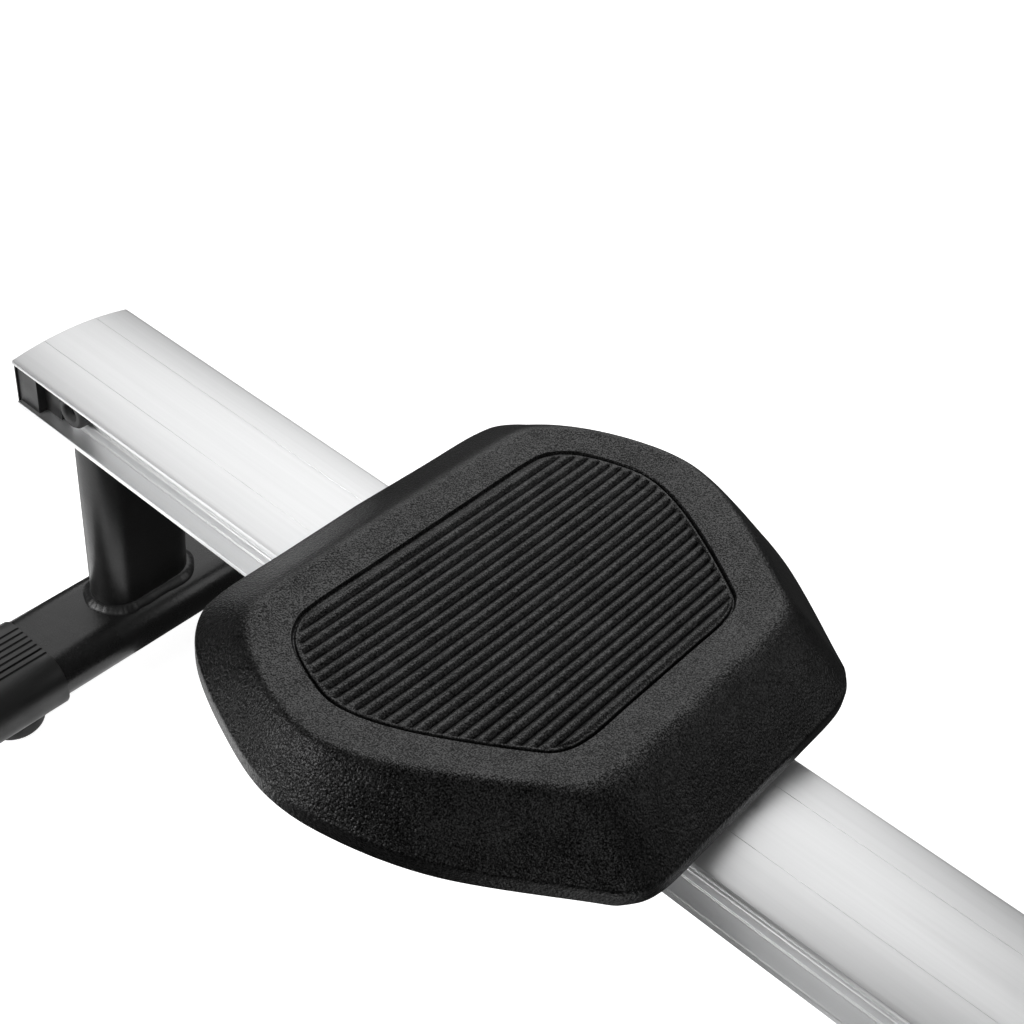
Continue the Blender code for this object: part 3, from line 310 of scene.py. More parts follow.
def powder_coat(name="powder_coat", shade=0.007, low=0.30, high=0.42):
    s = Surface(name, Specular_IOR_Level=0.5)
    peel = s.noise(430, 3, roughness=0.55)
    dust = s.noise(2400, 1)
    base = s.colour(s.noise(18, 5), grey(shade), grey(shade * 1.5))
    return s.set(
        Base_Color=s.worn(base, grey(0.06), 0.5),
        Roughness=s.between(s.mixed(s.noise(40, 4), 0.7, dust, 0.3), low, high),
        Normal=s.bump(peel, 0.00011, under=s.bump(dust, 0.00003)),
    )


def plastic(name, shade, low=0.38, high=0.52, grain=0.00006, scale=1500):
    s = Surface(name, Specular_IOR_Level=0.5)
    texture = s.noise(scale, 2, roughness=0.65)
    base = s.colour(s.noise(24, 4), shade, tuple(c * 1.35 for c in shade))
    wear = tuple(min(1.0, c * 2.2 + 0.02) for c in shade)
    return s.set(
        Base_Color=s.worn(base, wear, 0.5),
        Roughness=s.between(s.noise(55, 4), low, high),
        Normal=s.bump(texture, grain),
    )


def rubber(name="rubber", dark=0.012, light=0.026):
    s = Surface(name, Specular_IOR_Level=0.35)
    base = s.colour(s.noise(60, 5), grey(dark), grey(light))
    height = s.plus(s.noise(900, 3), s.noise(160, 3), 0.6)
    return s.set(
        Base_Color=s.worn(base, grey(0.07), 0.5),
        Roughness=s.between(s.noise(120, 3), 0.58, 0.78),
        Normal=s.bump(height, 0.00012),
    )


def steel(name="zinc_steel", dark=0.42, light=0.58, low=0.24, high=0.42):
    s = Surface(name, Metallic=1.0)
    spangle = s.cells(140)
    scratches = s.noise(700, 3, stretch=(1.0, 0.05, 1.0))
    tone = s.mixed(spangle, 0.4, s.noise(50, 4), 0.6)
    return s.set(
        Base_Color=s.colour(tone, grey(dark, 0.01), grey(light, 0.01)),
        Roughness=s.between(tone, low, high),
        Normal=s.bump(scratches, 0.00003),
    )


def cast_iron():
    s = Surface("cast_iron", Metallic=0.85)
    skin = s.noise(520, 4, roughness=0.7)
    base = s.colour(s.noise(35, 5), grey(0.10), grey(0.18))
    return s.set(
        Base_Color=s.worn(base, grey(0.45), 0.9),
        Roughness=s.between(s.noise(80, 3), 0.40, 0.62),
        Normal=s.bump(skin, 0.00022),
    )


def webbing():
    """A twill of crossing yarns, with a little fuzz."""
    s = Surface("webbing", Specular_IOR_Level=0.3, Sheen_Weight=0.35, Sheen_Roughness=0.5)
    across = s.waves(210, "Y", 0.6)
    lengthwise = s.waves(170, "DIAGONAL", 0.8)
    yarn = s.maths("MULTIPLY", across, lengthwise)
    fuzz = s.noise(2600, 2)
    height = s.plus(yarn, fuzz, 0.35)
    return s.set(
        Base_Color=s.colour(yarn, grey(0.007), grey(0.028), 0.1, 0.8),
        Roughness=s.between(fuzz, 0.72, 0.92),
        Normal=s.bump(height, 0.00045),
    )


def foam():
    s = Surface("grip_foam", Specular_IOR_Level=0.25)
    pores = s.cells(1300)
    swell = s.noise(220, 3)
    height = s.plus(pores, swell, 0.7)
    return s.set(
        Base_Color=s.colour(s.noise(50, 4), grey(0.012), grey(0.024)),
        Roughness=s.between(s.noise(400, 2), 0.74, 0.92),
        Normal=s.bump(height, 0.00028),
    )


def glass():
    """The display's smoked window, with faint smears."""
    s = Surface("display_window", Specular_IOR_Level=0.6)
    smear = s.noise(28, 5, stretch=(1, 0.5, 2.0), roughness=0.6)
    return s.set(
        Base_Color=s.colour(s.noise(6, 3), (0.100, 0.118, 0.100), (0.128, 0.146, 0.124)),
        Roughness=s.between(smear, 0.06, 0.22),
        Normal=s.bump(s.noise(1200, 1), 0.000006),
    )


ALUMINIUM = aluminium()
SEAT_SKIN = seat_skin()
POWDER = powder_coat()
GLOSS = powder_coat("gloss_coat", 0.005, 0.22, 0.34)
BLACK = plastic("black_plastic", grey(0.008))
CASING = plastic("casing_plastic", grey(0.018), 0.34, 0.48, 0.00009, 1100)
DARK_TRIM = plastic("grey_trim", grey(0.085), 0.30, 0.44)
NYLON = plastic("white_nylon", (0.66, 0.65, 0.61), 0.36, 0.50, 0.00004)
RUBBER = rubber()
GREY_RUBBER = rubber("grey_rubber", 0.055, 0.095)
STEEL = steel()
DARK_STEEL = steel("black_steel", 0.05, 0.10, 0.30, 0.45)
IRON = cast_iron()
WEBBING = webbing()
FOAM = foam()
WINDOW = glass()
INK = plastic("display_ink", (0.010, 0.013, 0.012), 0.30, 0.40)
BLACK_COAT = powder_coat("handle_coat", 0.010, 0.26, 0.38)
THREAD = plastic("thread", grey(0.10), 0.70, 0.85, 0.0001, 2600)


# ---------------------------------------------------------------- pieces


def added(name, data):
    obj = bpy.data.objects.new(name, data)
    bpy.context.scene.collection.objects.link(obj)
    return obj


def finish(mesh, name, body, material, slot, *replaced):
    """Makes a mesh in the row frame into a piece that rides on a body."""
    mesh.name = name
    mesh.materials.clear()
    mesh.materials.append(material)
    mesh.shade_smooth()
    mesh.set_sharp_from_angle(angle=math.radians(SMOOTH_ANGLE))
    obj = added(name, mesh)
    if body:
        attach(obj, body)
    if replaced:
        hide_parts(*replaced)
    return obj


def from_bmesh(bm):
    bmesh.ops.remove_doubles(bm, verts=bm.verts, dist=1e-6)
    bmesh.ops.dissolve_degenerate(bm, edges=bm.edges, dist=1e-6)
    bmesh.ops.recalc_face_normals(bm, faces=bm.faces)
    mesh = bpy.data.meshes.new("made")
    bm.to_mesh(mesh)
    bm.free()
    return mesh


def spun(centre, axis, profile, rounding, steps):
    """A turned solid. The profile, in (radius, along), is a line from axis to axis or a ring."""
    closed = profile[0][0] > 0
    if rounding:
        profile = soften(profile, rounding, closed)
    bm = bmesh.new()
    rows = []
    for radius, along in profile:
        if radius < 1e-7:
            rows.append([bm.verts.new((0, 0, along))] * steps)
        else:
            turns = (2 * math.pi * i / steps for i in range(steps))
            rows.append([bm.verts.new((radius * math.cos(a), radius * math.sin(a), along))
                         for a in turns])
    for a, b in zip(rows, rows[1:] + rows[:1] if closed else rows[1:]):
        for i in range(steps):
            j = (i + 1) % steps
            corners = list(dict.fromkeys((a[i], a[j], b[j], b[i])))
            if len(corners) > 2:
                bm.faces.new(corners)
    turn = Matrix.Translation(centre) @ TURNS[axis]
    bmesh.ops.transform(bm, matrix=turn, verts=bm.verts)
    return from_bmesh(bm)


def evaluated(obj):
    """An object's final mesh. The object itself is removed."""
    bpy.context.view_layer.update()
    shaped = obj.evaluated_get(bpy.context.evaluated_depsgraph_get())
    mesh = bpy.data.meshes.new_from_object(shaped)
    mesh.transform(obj.matrix_world)
    bpy.data.objects.remove(obj)
    return mesh


def extruded(plane, loops, low, high, edge):
    """Flat outlines, the first outside and the rest holes, made thick with eased edges."""
    curve = bpy.data.curves.new("outline", "CURVE")
    curve.dimensions = "2D"
    curve.fill_mode = "BOTH"
    curve.extrude = (high - low) / 2 - edge
    curve.bevel_depth = edge
    curve.bevel_resolution = 1
    curve.offset = -edge
    for i, loop in enumerate(loops):
        if (turned_area(loop) > 0) != (i == 0):
            loop = loop[::-1]
        spline = curve.splines.new("POLY")
        spline.points.add(len(loop) - 1)
        for point, (u, v) in zip(spline.points, loop):
            point.co = (u, v, 0.0, 1.0)
        spline.use_cyclic_u = True
    mesh = evaluated(added("outline", curve))
    bm = bmesh.new()
    bm.from_mesh(mesh)
    bpy.data.meshes.remove(mesh)
    step = (low + high) / 2
    lift = {id(SIDE): (0, step, 0), id(SECTION): (step, 0, 0), id(PLAN): (0, 0, step)}[id(plane)]
    bmesh.ops.transform(bm, matrix=Matrix.Translation(lift) @ plane, verts=bm.verts)
    return from_bmesh(bm)


def bar(path, radius, sides):
    """A round bar along world points."""
    curve = bpy.data.curves.new("bar", "CURVE")
    curve.dimensions = "3D"
    curve.bevel_depth = radius
    curve.bevel_resolution = sides // 4
    curve.use_fill_caps = True
    spline = curve.splines.new("POLY")
    spline.points.add(len(path) - 1)
    for point, place in zip(spline.points, path):
        point.co = (*place, 1.0)
    bm = bmesh.new()
    bm.from_mesh(evaluated(added("bar", curve)))
    return from_bmesh(bm)


def box(low, high, edge=0.0008, segments=3):
    """A block between two corners, with rounded edges."""
    low, high = Vector(low), Vector(high)
    bm = bmesh.new()
    bmesh.ops.create_cube(bm, size=1.0)
    bmesh.ops.scale(bm, vec=high - low, verts=bm.verts)
    bmesh.ops.translate(bm, vec=(low + high) / 2, verts=bm.verts)
    bmesh.ops.bevel(bm, geom=list(bm.edges), offset=edge, segments=segments, profile=0.5,
                    affect="EDGES")
    return from_bmesh(bm)


def skinned(bm, rings):
    """Faces between rings of vertices, all with the same count."""
    count = len(rings[0])
    for a, b in zip(rings, rings[1:]):
        for i in range(count):
            j = (i + 1) % count
            bm.faces.new((a[i], a[j], b[j], b[i]))


def lofted(rings):
    """A closed skin through rings of world points, all with the same count."""
    bm = bmesh.new()
    made = [[bm.verts.new(p) for p in ring] for ring in rings]
    skinned(bm, made)
    bm.faces.new(made[0][::-1])
    bm.faces.new(made[-1])
    return from_bmesh(bm)


def merged(*meshes):
    """Several closed meshes as one."""
    bm = bmesh.new()
    for mesh in meshes:
        bm.from_mesh(mesh)
        bpy.data.meshes.remove(mesh)
    made = bpy.data.meshes.new("merged")
    bm.to_mesh(made)
    bm.free()
    return made


def combined(mesh, operation, *others):
    """A mesh with others joined to it or cut from it."""
    obj = added("base", mesh)
    tools = [added("tool", other) for other in others]
    for tool in tools:
        modifier = obj.modifiers.new("combine", "BOOLEAN")
        modifier.operation = operation
        modifier.solver = "EXACT"
        modifier.object = tool
    made = evaluated(obj)
    for tool in tools:
        bpy.data.objects.remove(tool)
    return made


def moved(mesh, matrix):
    mesh.transform(matrix)
    return mesh


def mirrored(profile):
    """A turned profile made whole from its far half."""
    return profile + [(radius, -along) for radius, along in reversed(profile)]


def stub(radius, half):
    """A plain turned profile."""
    return mirrored([(0, half), (radius, half)])


def tubing(plane, low, high, wall, corner, ends):
    """A square tube, from its section's two corners, its wall, its corner radii and its ends."""
    (u0, v0), (u1, v1) = low, high
    outer = rounded(low, high, corner[0], 6)
    inner = rounded((u0 + wall, v0 + wall), (u1 - wall, v1 - wall), corner[1], 6)
    return extruded(plane, [outer, inner], *ends, 0.0003)


def screw_head(place, direction, radius, height, cross=False):
    """A domed screw head that faces a direction, with a hexagonal socket or a cross in it."""
    dome = [(0.0, 0.0), (radius, 0.0), (radius, height * 0.35), (radius * 0.86, height * 0.75),
            (0.0, height)]
    head = spun((0, 0, 0), "Z", dome, radius * 0.08, 32)
    deep = height * 0.6
    if cross:
        long, thin = radius * 0.62, radius * 0.14
        tools = [box((-u, -v, height - deep), (u, v, height + deep), thin * 0.4, 1)
                 for u, v in ((long, thin), (thin, long))]
    else:
        tools = [spun((0, 0, height), "Z", stub(radius * 0.5, deep), 0, 6)]
    head = combined(head, "DIFFERENCE", *tools)
    turn = Vector(direction).to_track_quat("Z", "Y").to_matrix().to_4x4()
    return moved(head, Matrix.Translation(place) @ turn)


# ---------------------------------------------------------------- seat

EDGE = ((0.263, 0.0), (0.264, 0.052), (0.2650, 0.100), (0.2720, 0.1215), (0.2930, 0.1400),
        (0.331, 0.1567), (0.372, 0.1675), (0.412, 0.1635), (0.462, 0.1445), (0.519, 0.106),
        (0.533, 0.0945), (0.5405, 0.077), (0.5415, 0.038), (0.5415, 0.0))
CREASE = ((0.297, 0.0), (0.297, 0.041), (0.2975, 0.082), (0.301, 0.107), (0.316, 0.1245),
          (0.341, 0.1385), (0.372, 0.1465), (0.398, 0.1440), (0.430, 0.1285), (0.470, 0.1015),
          (0.489, 0.0865), (0.4965, 0.068), (0.4975, 0.034), (0.4975, 0.0))
PANEL = ((0.3205, 0.0), (0.3205, 0.042), (0.3205, 0.083), (0.3238, 0.0985), (0.3345, 0.110),
         (0.355, 0.1187), (0.3745, 0.1221), (0.397, 0.1163), (0.424, 0.1025), (0.4585, 0.080),
         (0.4688, 0.070), (0.4727, 0.055), (0.4728, 0.028), (0.4728, 0.0))
# From the bottom edge to the rim (0 to 1) and on to the panel's groove (1 to 2), with heights.
WALL = ((0.030, 0.2565), (0.010, 0.2567), (0.000, 0.2580), (0.000, 0.2630), (0.002, 0.2652),
        (0.018, 0.2668), (0.060, 0.2679), (0.120, 0.2697), (0.300, 0.2752), (0.500, 0.2812),
        (0.700, 0.2868), (0.850, 0.2903), (0.930, 0.2915), (1.000, 0.2921), (1.080, 0.2921),
        (1.200, 0.2917), (1.450, 0.2908), (1.750, 0.2899), (2.000, 0.2890))
RIM = 0.2920
LIP = 0.2655
RISE = 0.05
SEAT_MIDDLE = 0.402
BORDER = 0.2885
RIBS = 24
RIB_HEIGHT = 0.0021
RIB_ROWS = 10
# A rib rounds off over this distance from the panel's outline.
RIB_END = 0.0034
VALLEY = 0.0008
DISH = 0.0050
PANEL_REACH = 0.1275
RECESS = ((0.290, -0.056), (0.515, 0.056))
RECESS_TOP = 0.2623


def seat_loop(points):
    """A closed outline from the points on its +Y side, clockwise seen from above."""
    half = smooth(points, 20)
    return np.array(half + [np.array((p[0], -p[1])) for p in reversed(half[1:-1])])


def tilted_height(x, z):
    """A seat height, where what is above the lip rises towards the front."""
    return z + np.clip((z - LIP) / (RIM - LIP), 0, 1) * RISE * (x - SEAT_MIDDLE)


def outward(loop, distance):
    """A clockwise outline moved out by a distance."""
    return loop + distance * normals(loop)


def seat_fill(bm, ring, points, keep):
    """Fills inside a ring of vertices with triangles through extra (x, y, z) points."""
    flat = [Vector(v.co[:2]) for v in ring] + [Vector(p[:2]) for p in points]
    edges = [(i, (i + 1) % len(ring)) for i in range(len(ring))]
    found, _, faces, kept, _, _ = delaunay_2d_cdt(flat, edges, [], 1, 1e-7)
    verts = []
    for place, sources in zip(found, kept):
        source = sources[0] if sources else -1
        if 0 <= source < len(ring):
            verts.append(ring[source])
        elif source >= len(ring):
            verts.append(bm.verts.new(points[source - len(ring)]))
        else:
            verts.append(bm.verts.new((*place, ring[0].co.z)))
    for face in faces:
        centre = sum((found[i] for i in face), Vector((0, 0))) / len(face)
        if keep(centre):
            try:
                bm.faces.new([verts[i] for i in face])
            except ValueError:
                pass
    return verts


def panel_heights(x, y, reach):
    """The ribbed, dished surface inside the panel. reach is the distance to its outline."""
    rear, front = PANEL[0][0], PANEL[-1][0]
    share = (x - rear) / (front - rear)
    across = share * RIBS
    phase = across - np.floor(across)
    crest = 1 - np.abs(2 * phase - 1) ** 2.4
    end = np.clip(reach / RIB_END, 0, 1)
    end = np.sqrt(1 - (1 - end) ** 2)
    wide = np.clip(np.abs(y) / 0.127, 0, 1)
    hollow = DISH * (1 - (2 * share - 1) ** 2) * (1 - wide**2) ** 0.7
    valley = VALLEY * np.clip(reach / 0.003, 0, 1)
    return BORDER - hollow - valley + RIB_HEIGHT * crest * end


def seat_cushion():
    edge, crease, panel = seat_loop(EDGE), seat_loop(CREASE), seat_loop(PANEL)
    groove = outward(panel, 0.0032)
    rear_side = np.clip((0.350 - panel[:, 0]) / 0.030, 0, 1)
    rows = []
    for share, height in smooth(WALL, 3):
        if share <= 1:
            loop = edge + (crease - edge) * share
            heights = np.full(len(loop), height)
        else:
            loop = crease + (groove - crease) * (share - 1)
            heights = height + 0.0008 * rear_side * (share - 1)
        rows.append((loop, heights))
    lip = rows[-1][1]
    for reach, drop in ((0.0029, 0.0007), (0.0026, 0.0017), (0.0023, 0.0026), (0.0017, 0.0026)):
        rows.append((outward(panel, reach), lip - drop))
    for reach, height in ((0.0013, BORDER - 0.0011), (0.0010, BORDER - 0.0002), (0.0006, BORDER),
                          (0.0, BORDER)):
        rows.append((outward(panel, reach), np.full(len(panel), height)))
    bm = bmesh.new()
    made = []
    for loop, heights in rows:
        heights = tilted_height(loop[:, 0], heights)
        made.append([bm.verts.new((REAR + p[0], p[1], z)) for p, z in zip(loop, heights)])
    skinned(bm, made)
    add_panel(bm, made[-1], panel)
    add_underside(bm, made[0])
    mesh = from_bmesh(bm)
    pad = finish(mesh, "seat_cushion", "seat", SEAT_SKIN, "seat_foam", "seat_pad")


def add_panel(bm, ring, panel):
    rear, front = PANEL[0][0], PANEL[-1][0]
    pitch = (front - rear) / RIBS / RIB_ROWS
    xs = rear + pitch * np.arange(1, RIBS * RIB_ROWS)
    ys = np.arange(-PANEL_REACH, PANEL_REACH + 0.0001, 0.0021)
    x, y = (a.ravel() for a in np.meshgrid(xs, ys, indexing="ij"))
    away = np.min(np.hypot(x[:, None] - panel[None, :, 0], y[:, None] - panel[None, :, 1]), 1)
    half = np.interp(x, *panel_half_width(panel))
    inside = (np.abs(y) < half) & (away > 0.0005)
    x, y, away = x[inside], y[inside], away[inside]
    z = tilted_height(x, panel_heights(x, y, away))
    seat_fill(bm, ring, [(REAR + a, b, c) for a, b, c in zip(x, y, z)], lambda p: True)


def panel_half_width(panel):
    """The panel's half width at each distance along it."""
    half = panel[panel[:, 1] >= 0]
    order = np.argsort(half[:, 0], kind="stable")
    return half[order, 0], half[order, 1]


def add_underside(bm, ring):
    """A flat base with the hollow that takes the carriage."""
    (x0, y0), (x1, y1) = RECESS
    z = ring[0].co.z
    steps = 12
    frame_points = []
    corners = [(x0, y0), (x1, y0), (x1, y1), (x0, y1)]
    for (ax, ay), (bx, by) in zip(corners, corners[1:] + corners[:1]):
        for i in range(steps):
            t = i / steps
            frame_points.append((REAR + ax + (bx - ax) * t, ay + (by - ay) * t, z))

    def outside(p):
        return not (REAR + x0 < p.x < REAR + x1 and y0 < p.y < y1)

    verts = seat_fill(bm, ring, frame_points, outside)
    low = [v for v in verts if v not in set(ring)]
    low.sort(key=lambda v: frame_order(v.co, corners))
    high = [bm.verts.new((v.co.x, v.co.y, RECESS_TOP)) for v in low]
    skinned(bm, [low, high])
    bm.faces.new(high)


def frame_order(place, corners):
    """Sorts the points of the hollow's outline the way round it."""
    (x0, y0), (x1, y1) = corners[0], corners[2]
    x, y = place.x - REAR, place.y
    if abs(y - y0) < 1e-6 and x < x1 - 1e-6:
        return x - x0
    if abs(x - x1) < 1e-6 and y < y1 - 1e-6:
        return 1 + y - y0
    if abs(y - y1) < 1e-6 and x > x0 + 1e-6:
        return 2 + x1 - x
    return 3 + y1 - y


def seat_rollers():
    for side, _ in SIDES:
        for end in ("front", "rear"):
            node = f"seat_roller_{end}_{side}"
            radius, half = turned_size(node)
            profile = [(0.0043, half - 0.0006), (0.0062, half - 0.0006), (0.0066, half),
                       (0.0085, half), (0.0089, half - 0.0008), (radius - 0.0030, half - 0.0008),
                       (radius - 0.0026, half - 0.0003), (radius, half - 0.0018),
                       (radius, -half + 0.0018), (radius - 0.0026, -half + 0.0003),
                       (0.0089, -half + 0.0008), (0.0043, -half + 0.0006)]
            tyre = spun(middle(node), "Y", profile, 0.0003, 64)
            name = f"roller_{end}_{side}"
            finish(tyre, name, name, NYLON, "white_plastic", node)


# ---------------------------------------------------------------- rail and rear leg


def rail_loop():
    """The extrusion's outline as (across, up), anticlockwise seen from the front."""
    low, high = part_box("rail")
    half, base, crown = high.y, low.z, high.z
    floor, ceiling, lip, web = base + 0.0027, crown - 0.0070, crown - 0.0050, 0.0295
    side = [(half, base), (half, floor + 0.0006), (half - 0.0008, floor + 0.0006),
            (half - 0.0013, floor), (0.0330, floor), (0.0328, floor - 0.0006),
            (0.0322, floor - 0.0006), (0.0320, floor), (0.0313, floor + 0.0002),
            (0.0313, floor + 0.0058), (0.0306, floor + 0.0066), (web, floor + 0.0066),
            (web, ceiling), (half - 0.0040, ceiling), (half - 0.0036, ceiling - 0.0005),
            (half, ceiling - 0.0005)]
    side = soften(side, 0.0004, False, 2)
    radius = (half**2 + (crown - lip) ** 2) / (2 * (crown - lip))
    centre = crown - radius

    def top(across):
        return centre + math.sqrt(radius**2 - across**2)

    line = []
    for across in np.linspace(half, -half, 61):
        line.append((across, top(across)))
    for score in (0.0200, -0.0200):
        line = [p for p in line if abs(p[0] - score) > 0.0004]
        line += [(score + 0.00016, top(score)), (score, top(score) - 0.00022),
                 (score - 0.00016, top(score))]
    line.sort(key=lambda p: -p[0])
    line[0] = (half, lip - 0.0006)
    line.insert(1, (half - 0.0002, lip - 0.0001))
    line[-1] = (-half, lip - 0.0006)
    line.insert(-1, (-half + 0.0002, lip - 0.0001))
    underside = [(-0.0300, base), (-0.0297, base + 0.0005), (-0.0290, base + 0.0005),
                 (-0.0287, base), (0.0287, base), (0.0290, base + 0.0005), (0.0297, base + 0.0005),
                 (0.0300, base)]
    return side + line + [(-u, v) for u, v in reversed(side)] + underside


def rail():
    low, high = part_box("rail")
    core = rounded((-0.0265, low.z + 0.0030), (0.0265, high.z - 0.0045), 0.0012)
    mesh = extruded(SECTION, [rail_loop(), core], low.x, high.x, 0.00012)
    finish(mesh, "rail_extrusion", "rail_assembly", ALUMINIUM, "rail_aluminium", "rail")


def bumpers():
    for side, sign in SIDES:
        for end in ("rear", "front"):
            node = f"{end}_bumper_{side}"
            radius, half = turned_size(node)
            profile = [(0.0, -half), (radius - 0.0006, -half), (radius, -half + 0.0008),
                       (radius, half - 0.0020), (radius - 0.0016, half), (0.0068, half),
                       (0.0060, half - 0.0010), (0.0056, -0.0010), (0.0, -0.0010)]
            mesh = spun((0, 0, 0), "Y", profile, 0.0007, 72)
            if sign < 0:
                mesh.transform(rotation(180, "X"))
            mesh.transform(Matrix.Translation(middle(node)))
            finish(mesh, f"bumper_{end}_{side}", "rail_assembly", GREY_RUBBER, "rubber", node)
            place = middle(node) + Vector((0, -sign * 0.0009, 0))
            head = screw_head(place, (0, sign, 0), 0.0046, 0.0026)
            finish(head, f"bumper_screw_{end}_{side}", "rail_assembly", DARK_STEEL, "steel")


TUBE_WIDTH = 0.072
TUBE_RADIUS = 0.018
TUBE_Z = 0.043
CAP_SKIN = 0.0015


def tube_height(offset):
    """The height of a flat oval cross tube's top, at a distance across from its centre line."""
    past = max(0.0, abs(offset) - (TUBE_WIDTH / 2 - TUBE_RADIUS))
    return TUBE_Z + math.sqrt(max(0.0, TUBE_RADIUS**2 - past**2))


# How far out from the post, and how far up it: shares of a weld bead's spread and rise.
WELD_BEAD = ((1.0, -0.06), (0.97, 0.10), (0.84, 0.30), (0.62, 0.52), (0.40, 0.74), (0.18, 0.92),
             (-0.05, 1.0))
WELD_PITCH = 0.0042
WELD_LUMP = 0.00016


def weld(name, centre, width, depth, spread, rise, ceiling=None):
    """A rippled weld bead round a flat oval post: at its foot on the cross tube, or at its head."""
    count = 320
    base = np.array(oval(depth, width, 24))
    around = np.linspace(0, len(base), count, endpoint=False)
    points = np.vstack([base, base[:1]])
    order = np.arange(len(base) + 1)
    loop = np.stack([np.interp(around, order, points[:, k]) for k in range(2)], 1)
    outwards = -normals(loop)
    length = np.cumsum(np.linalg.norm(np.roll(loop, -1, 0) - loop, axis=1))
    pitch = length[-1] / round(length[-1] / WELD_PITCH)
    scallop = np.abs(np.sin(np.pi * length / pitch)) ** 0.7
    rings = []
    for out, up in WELD_BEAD:
        lump = math.sin(math.pi * min(1.0, max(0.0, 1.02 - out))) * WELD_LUMP
        ring = []
        for i in range(count):
            wander = noise.noise(Vector((loop[i][0] * 90, loop[i][1] * 90, centre.x)))
            reach = spread * out * (1 + 0.28 * wander * out) + lump * (scallop[i] - 0.5)
            x, y = loop[i] + outwards[i] * reach
            lift = rise * up * (1 + 0.22 * wander) + lump * scallop[i]
            z = tube_height(x) + lift if ceiling is None else ceiling - lift
            ring.append((centre.x + x, centre.y + y, z))
        rings.append(ring)
    finish(lofted(rings), name, "rail_assembly", POWDER, "powder_coat")


def cross_tube(node, name, body):
    low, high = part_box(node)
    place = middle(node)
    width, height = high.x - low.x, high.z - low.z
    centre = (place.x, place.z)
    wall = 0.002
    loops = [oval(width, height, 32, centre), oval(width - 2 * wall, height - 2 * wall, 24, centre)]
    mesh = extruded(SIDE, loops, low.y, high.y, 0.0004)
    return finish(mesh, name, body, GLOSS, "powder_coat", node)


def cap_section(centre, base, corner):
    """A foot cap's outline: the tube's round top, and its own corners below."""
    reach, radius = TUBE_WIDTH / 2 + CAP_SKIN, TUBE_RADIUS + CAP_SKIN
    flat = reach - radius
    shoulder = TUBE_Z + TUBE_RADIUS + CAP_SKIN - radius
    outline = arc((-reach + corner, base + corner), corner, 180, 270, 8)
    outline += arc((reach - corner, base + corner), corner, 270, 360, 8)
    outline += arc((flat, shoulder), radius, 0, 90, 14)
    outline += arc((-flat, shoulder), radius, 90, 180, 14)
    return [(centre + u, v) for u, v in outline]


def foot_caps():
    """Moulded caps over the cross tubes' ends, ridged on top."""
    rows = (("rear", "rear_crossbar", "rail_assembly", 0.016),
            ("mid", "mid_crossbar", "main_frame", 0.008),
            ("front", "front_crossbar", "main_frame", 0.008))
    for end, tube, body, corner in rows:
        centre = middle(tube).x
        tube_low, tube_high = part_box(tube)
        for side, sign in SIDES:
            node = f"{end}_cap_{side}"
            low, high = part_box(node)
            inner, outer = sorted((low.y, high.y), key=abs)
            near, far = sorted((inner, outer))
            plain = extruded(SIDE, [cap_section(centre, low.z, corner)], near, far, 0.0012)
            grip_low, grip_high = sorted((inner - sign * 0.0020, outer - sign * 0.0080))
            cutter = ridge_cutter(centre, grip_low, grip_high)
            tip = tube_high.y if sign > 0 else tube_low.y
            pocket_low, pocket_high = sorted((inner - sign * 0.002, tip + sign * 0.0003))
            socket = oval(0.0726, 0.0366, 32, (centre, TUBE_Z))
            pocket = extruded(SIDE, [socket], pocket_low, pocket_high, 0.0001)
            if end == "front":
                arms = [fork_arm(node, sign, across) for across in (0.1870, 0.1530)]
                plain = combined(plain, "UNION", *arms)
            mesh = combined(plain, "DIFFERENCE", pocket, *cutter)
            finish(mesh, f"foot_cap_{end}_{side}", body, BLACK, "black_plastic", node)


def ridge_cutter(centre, low, high):
    """Rounded troughs along the cap's top."""
    tools = []
    pitch = 0.0052
    for i in range(-3, 4):
        across = centre + i * pitch
        top = tube_height(i * pitch) + CAP_SKIN
        trough = oval(0.0020, 0.0026, 6, (across, top + 0.0001))
        tools.append(extruded(SIDE, [trough], low, high, 0.0003))
    return tools


def fork_arm(node, sign, across):
    """One cheek of the fork that holds a transport wheel."""
    wheel = middle("wheel_" + ("left" if sign > 0 else "right"))
    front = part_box(node)[1].x
    tube_front = middle("front_crossbar").x + 0.030
    loop = arc((wheel.x, wheel.z), min(0.012, front - wheel.x), -90, 90, 20)
    loop += [(tube_front, wheel.z + 0.012), (tube_front, wheel.z - 0.012)]
    hole = circle((wheel.x, wheel.z), 0.0054, 24)
    return extruded(SIDE, [loop, hole], sign * across - 0.003, sign * across + 0.003, 0.0008)


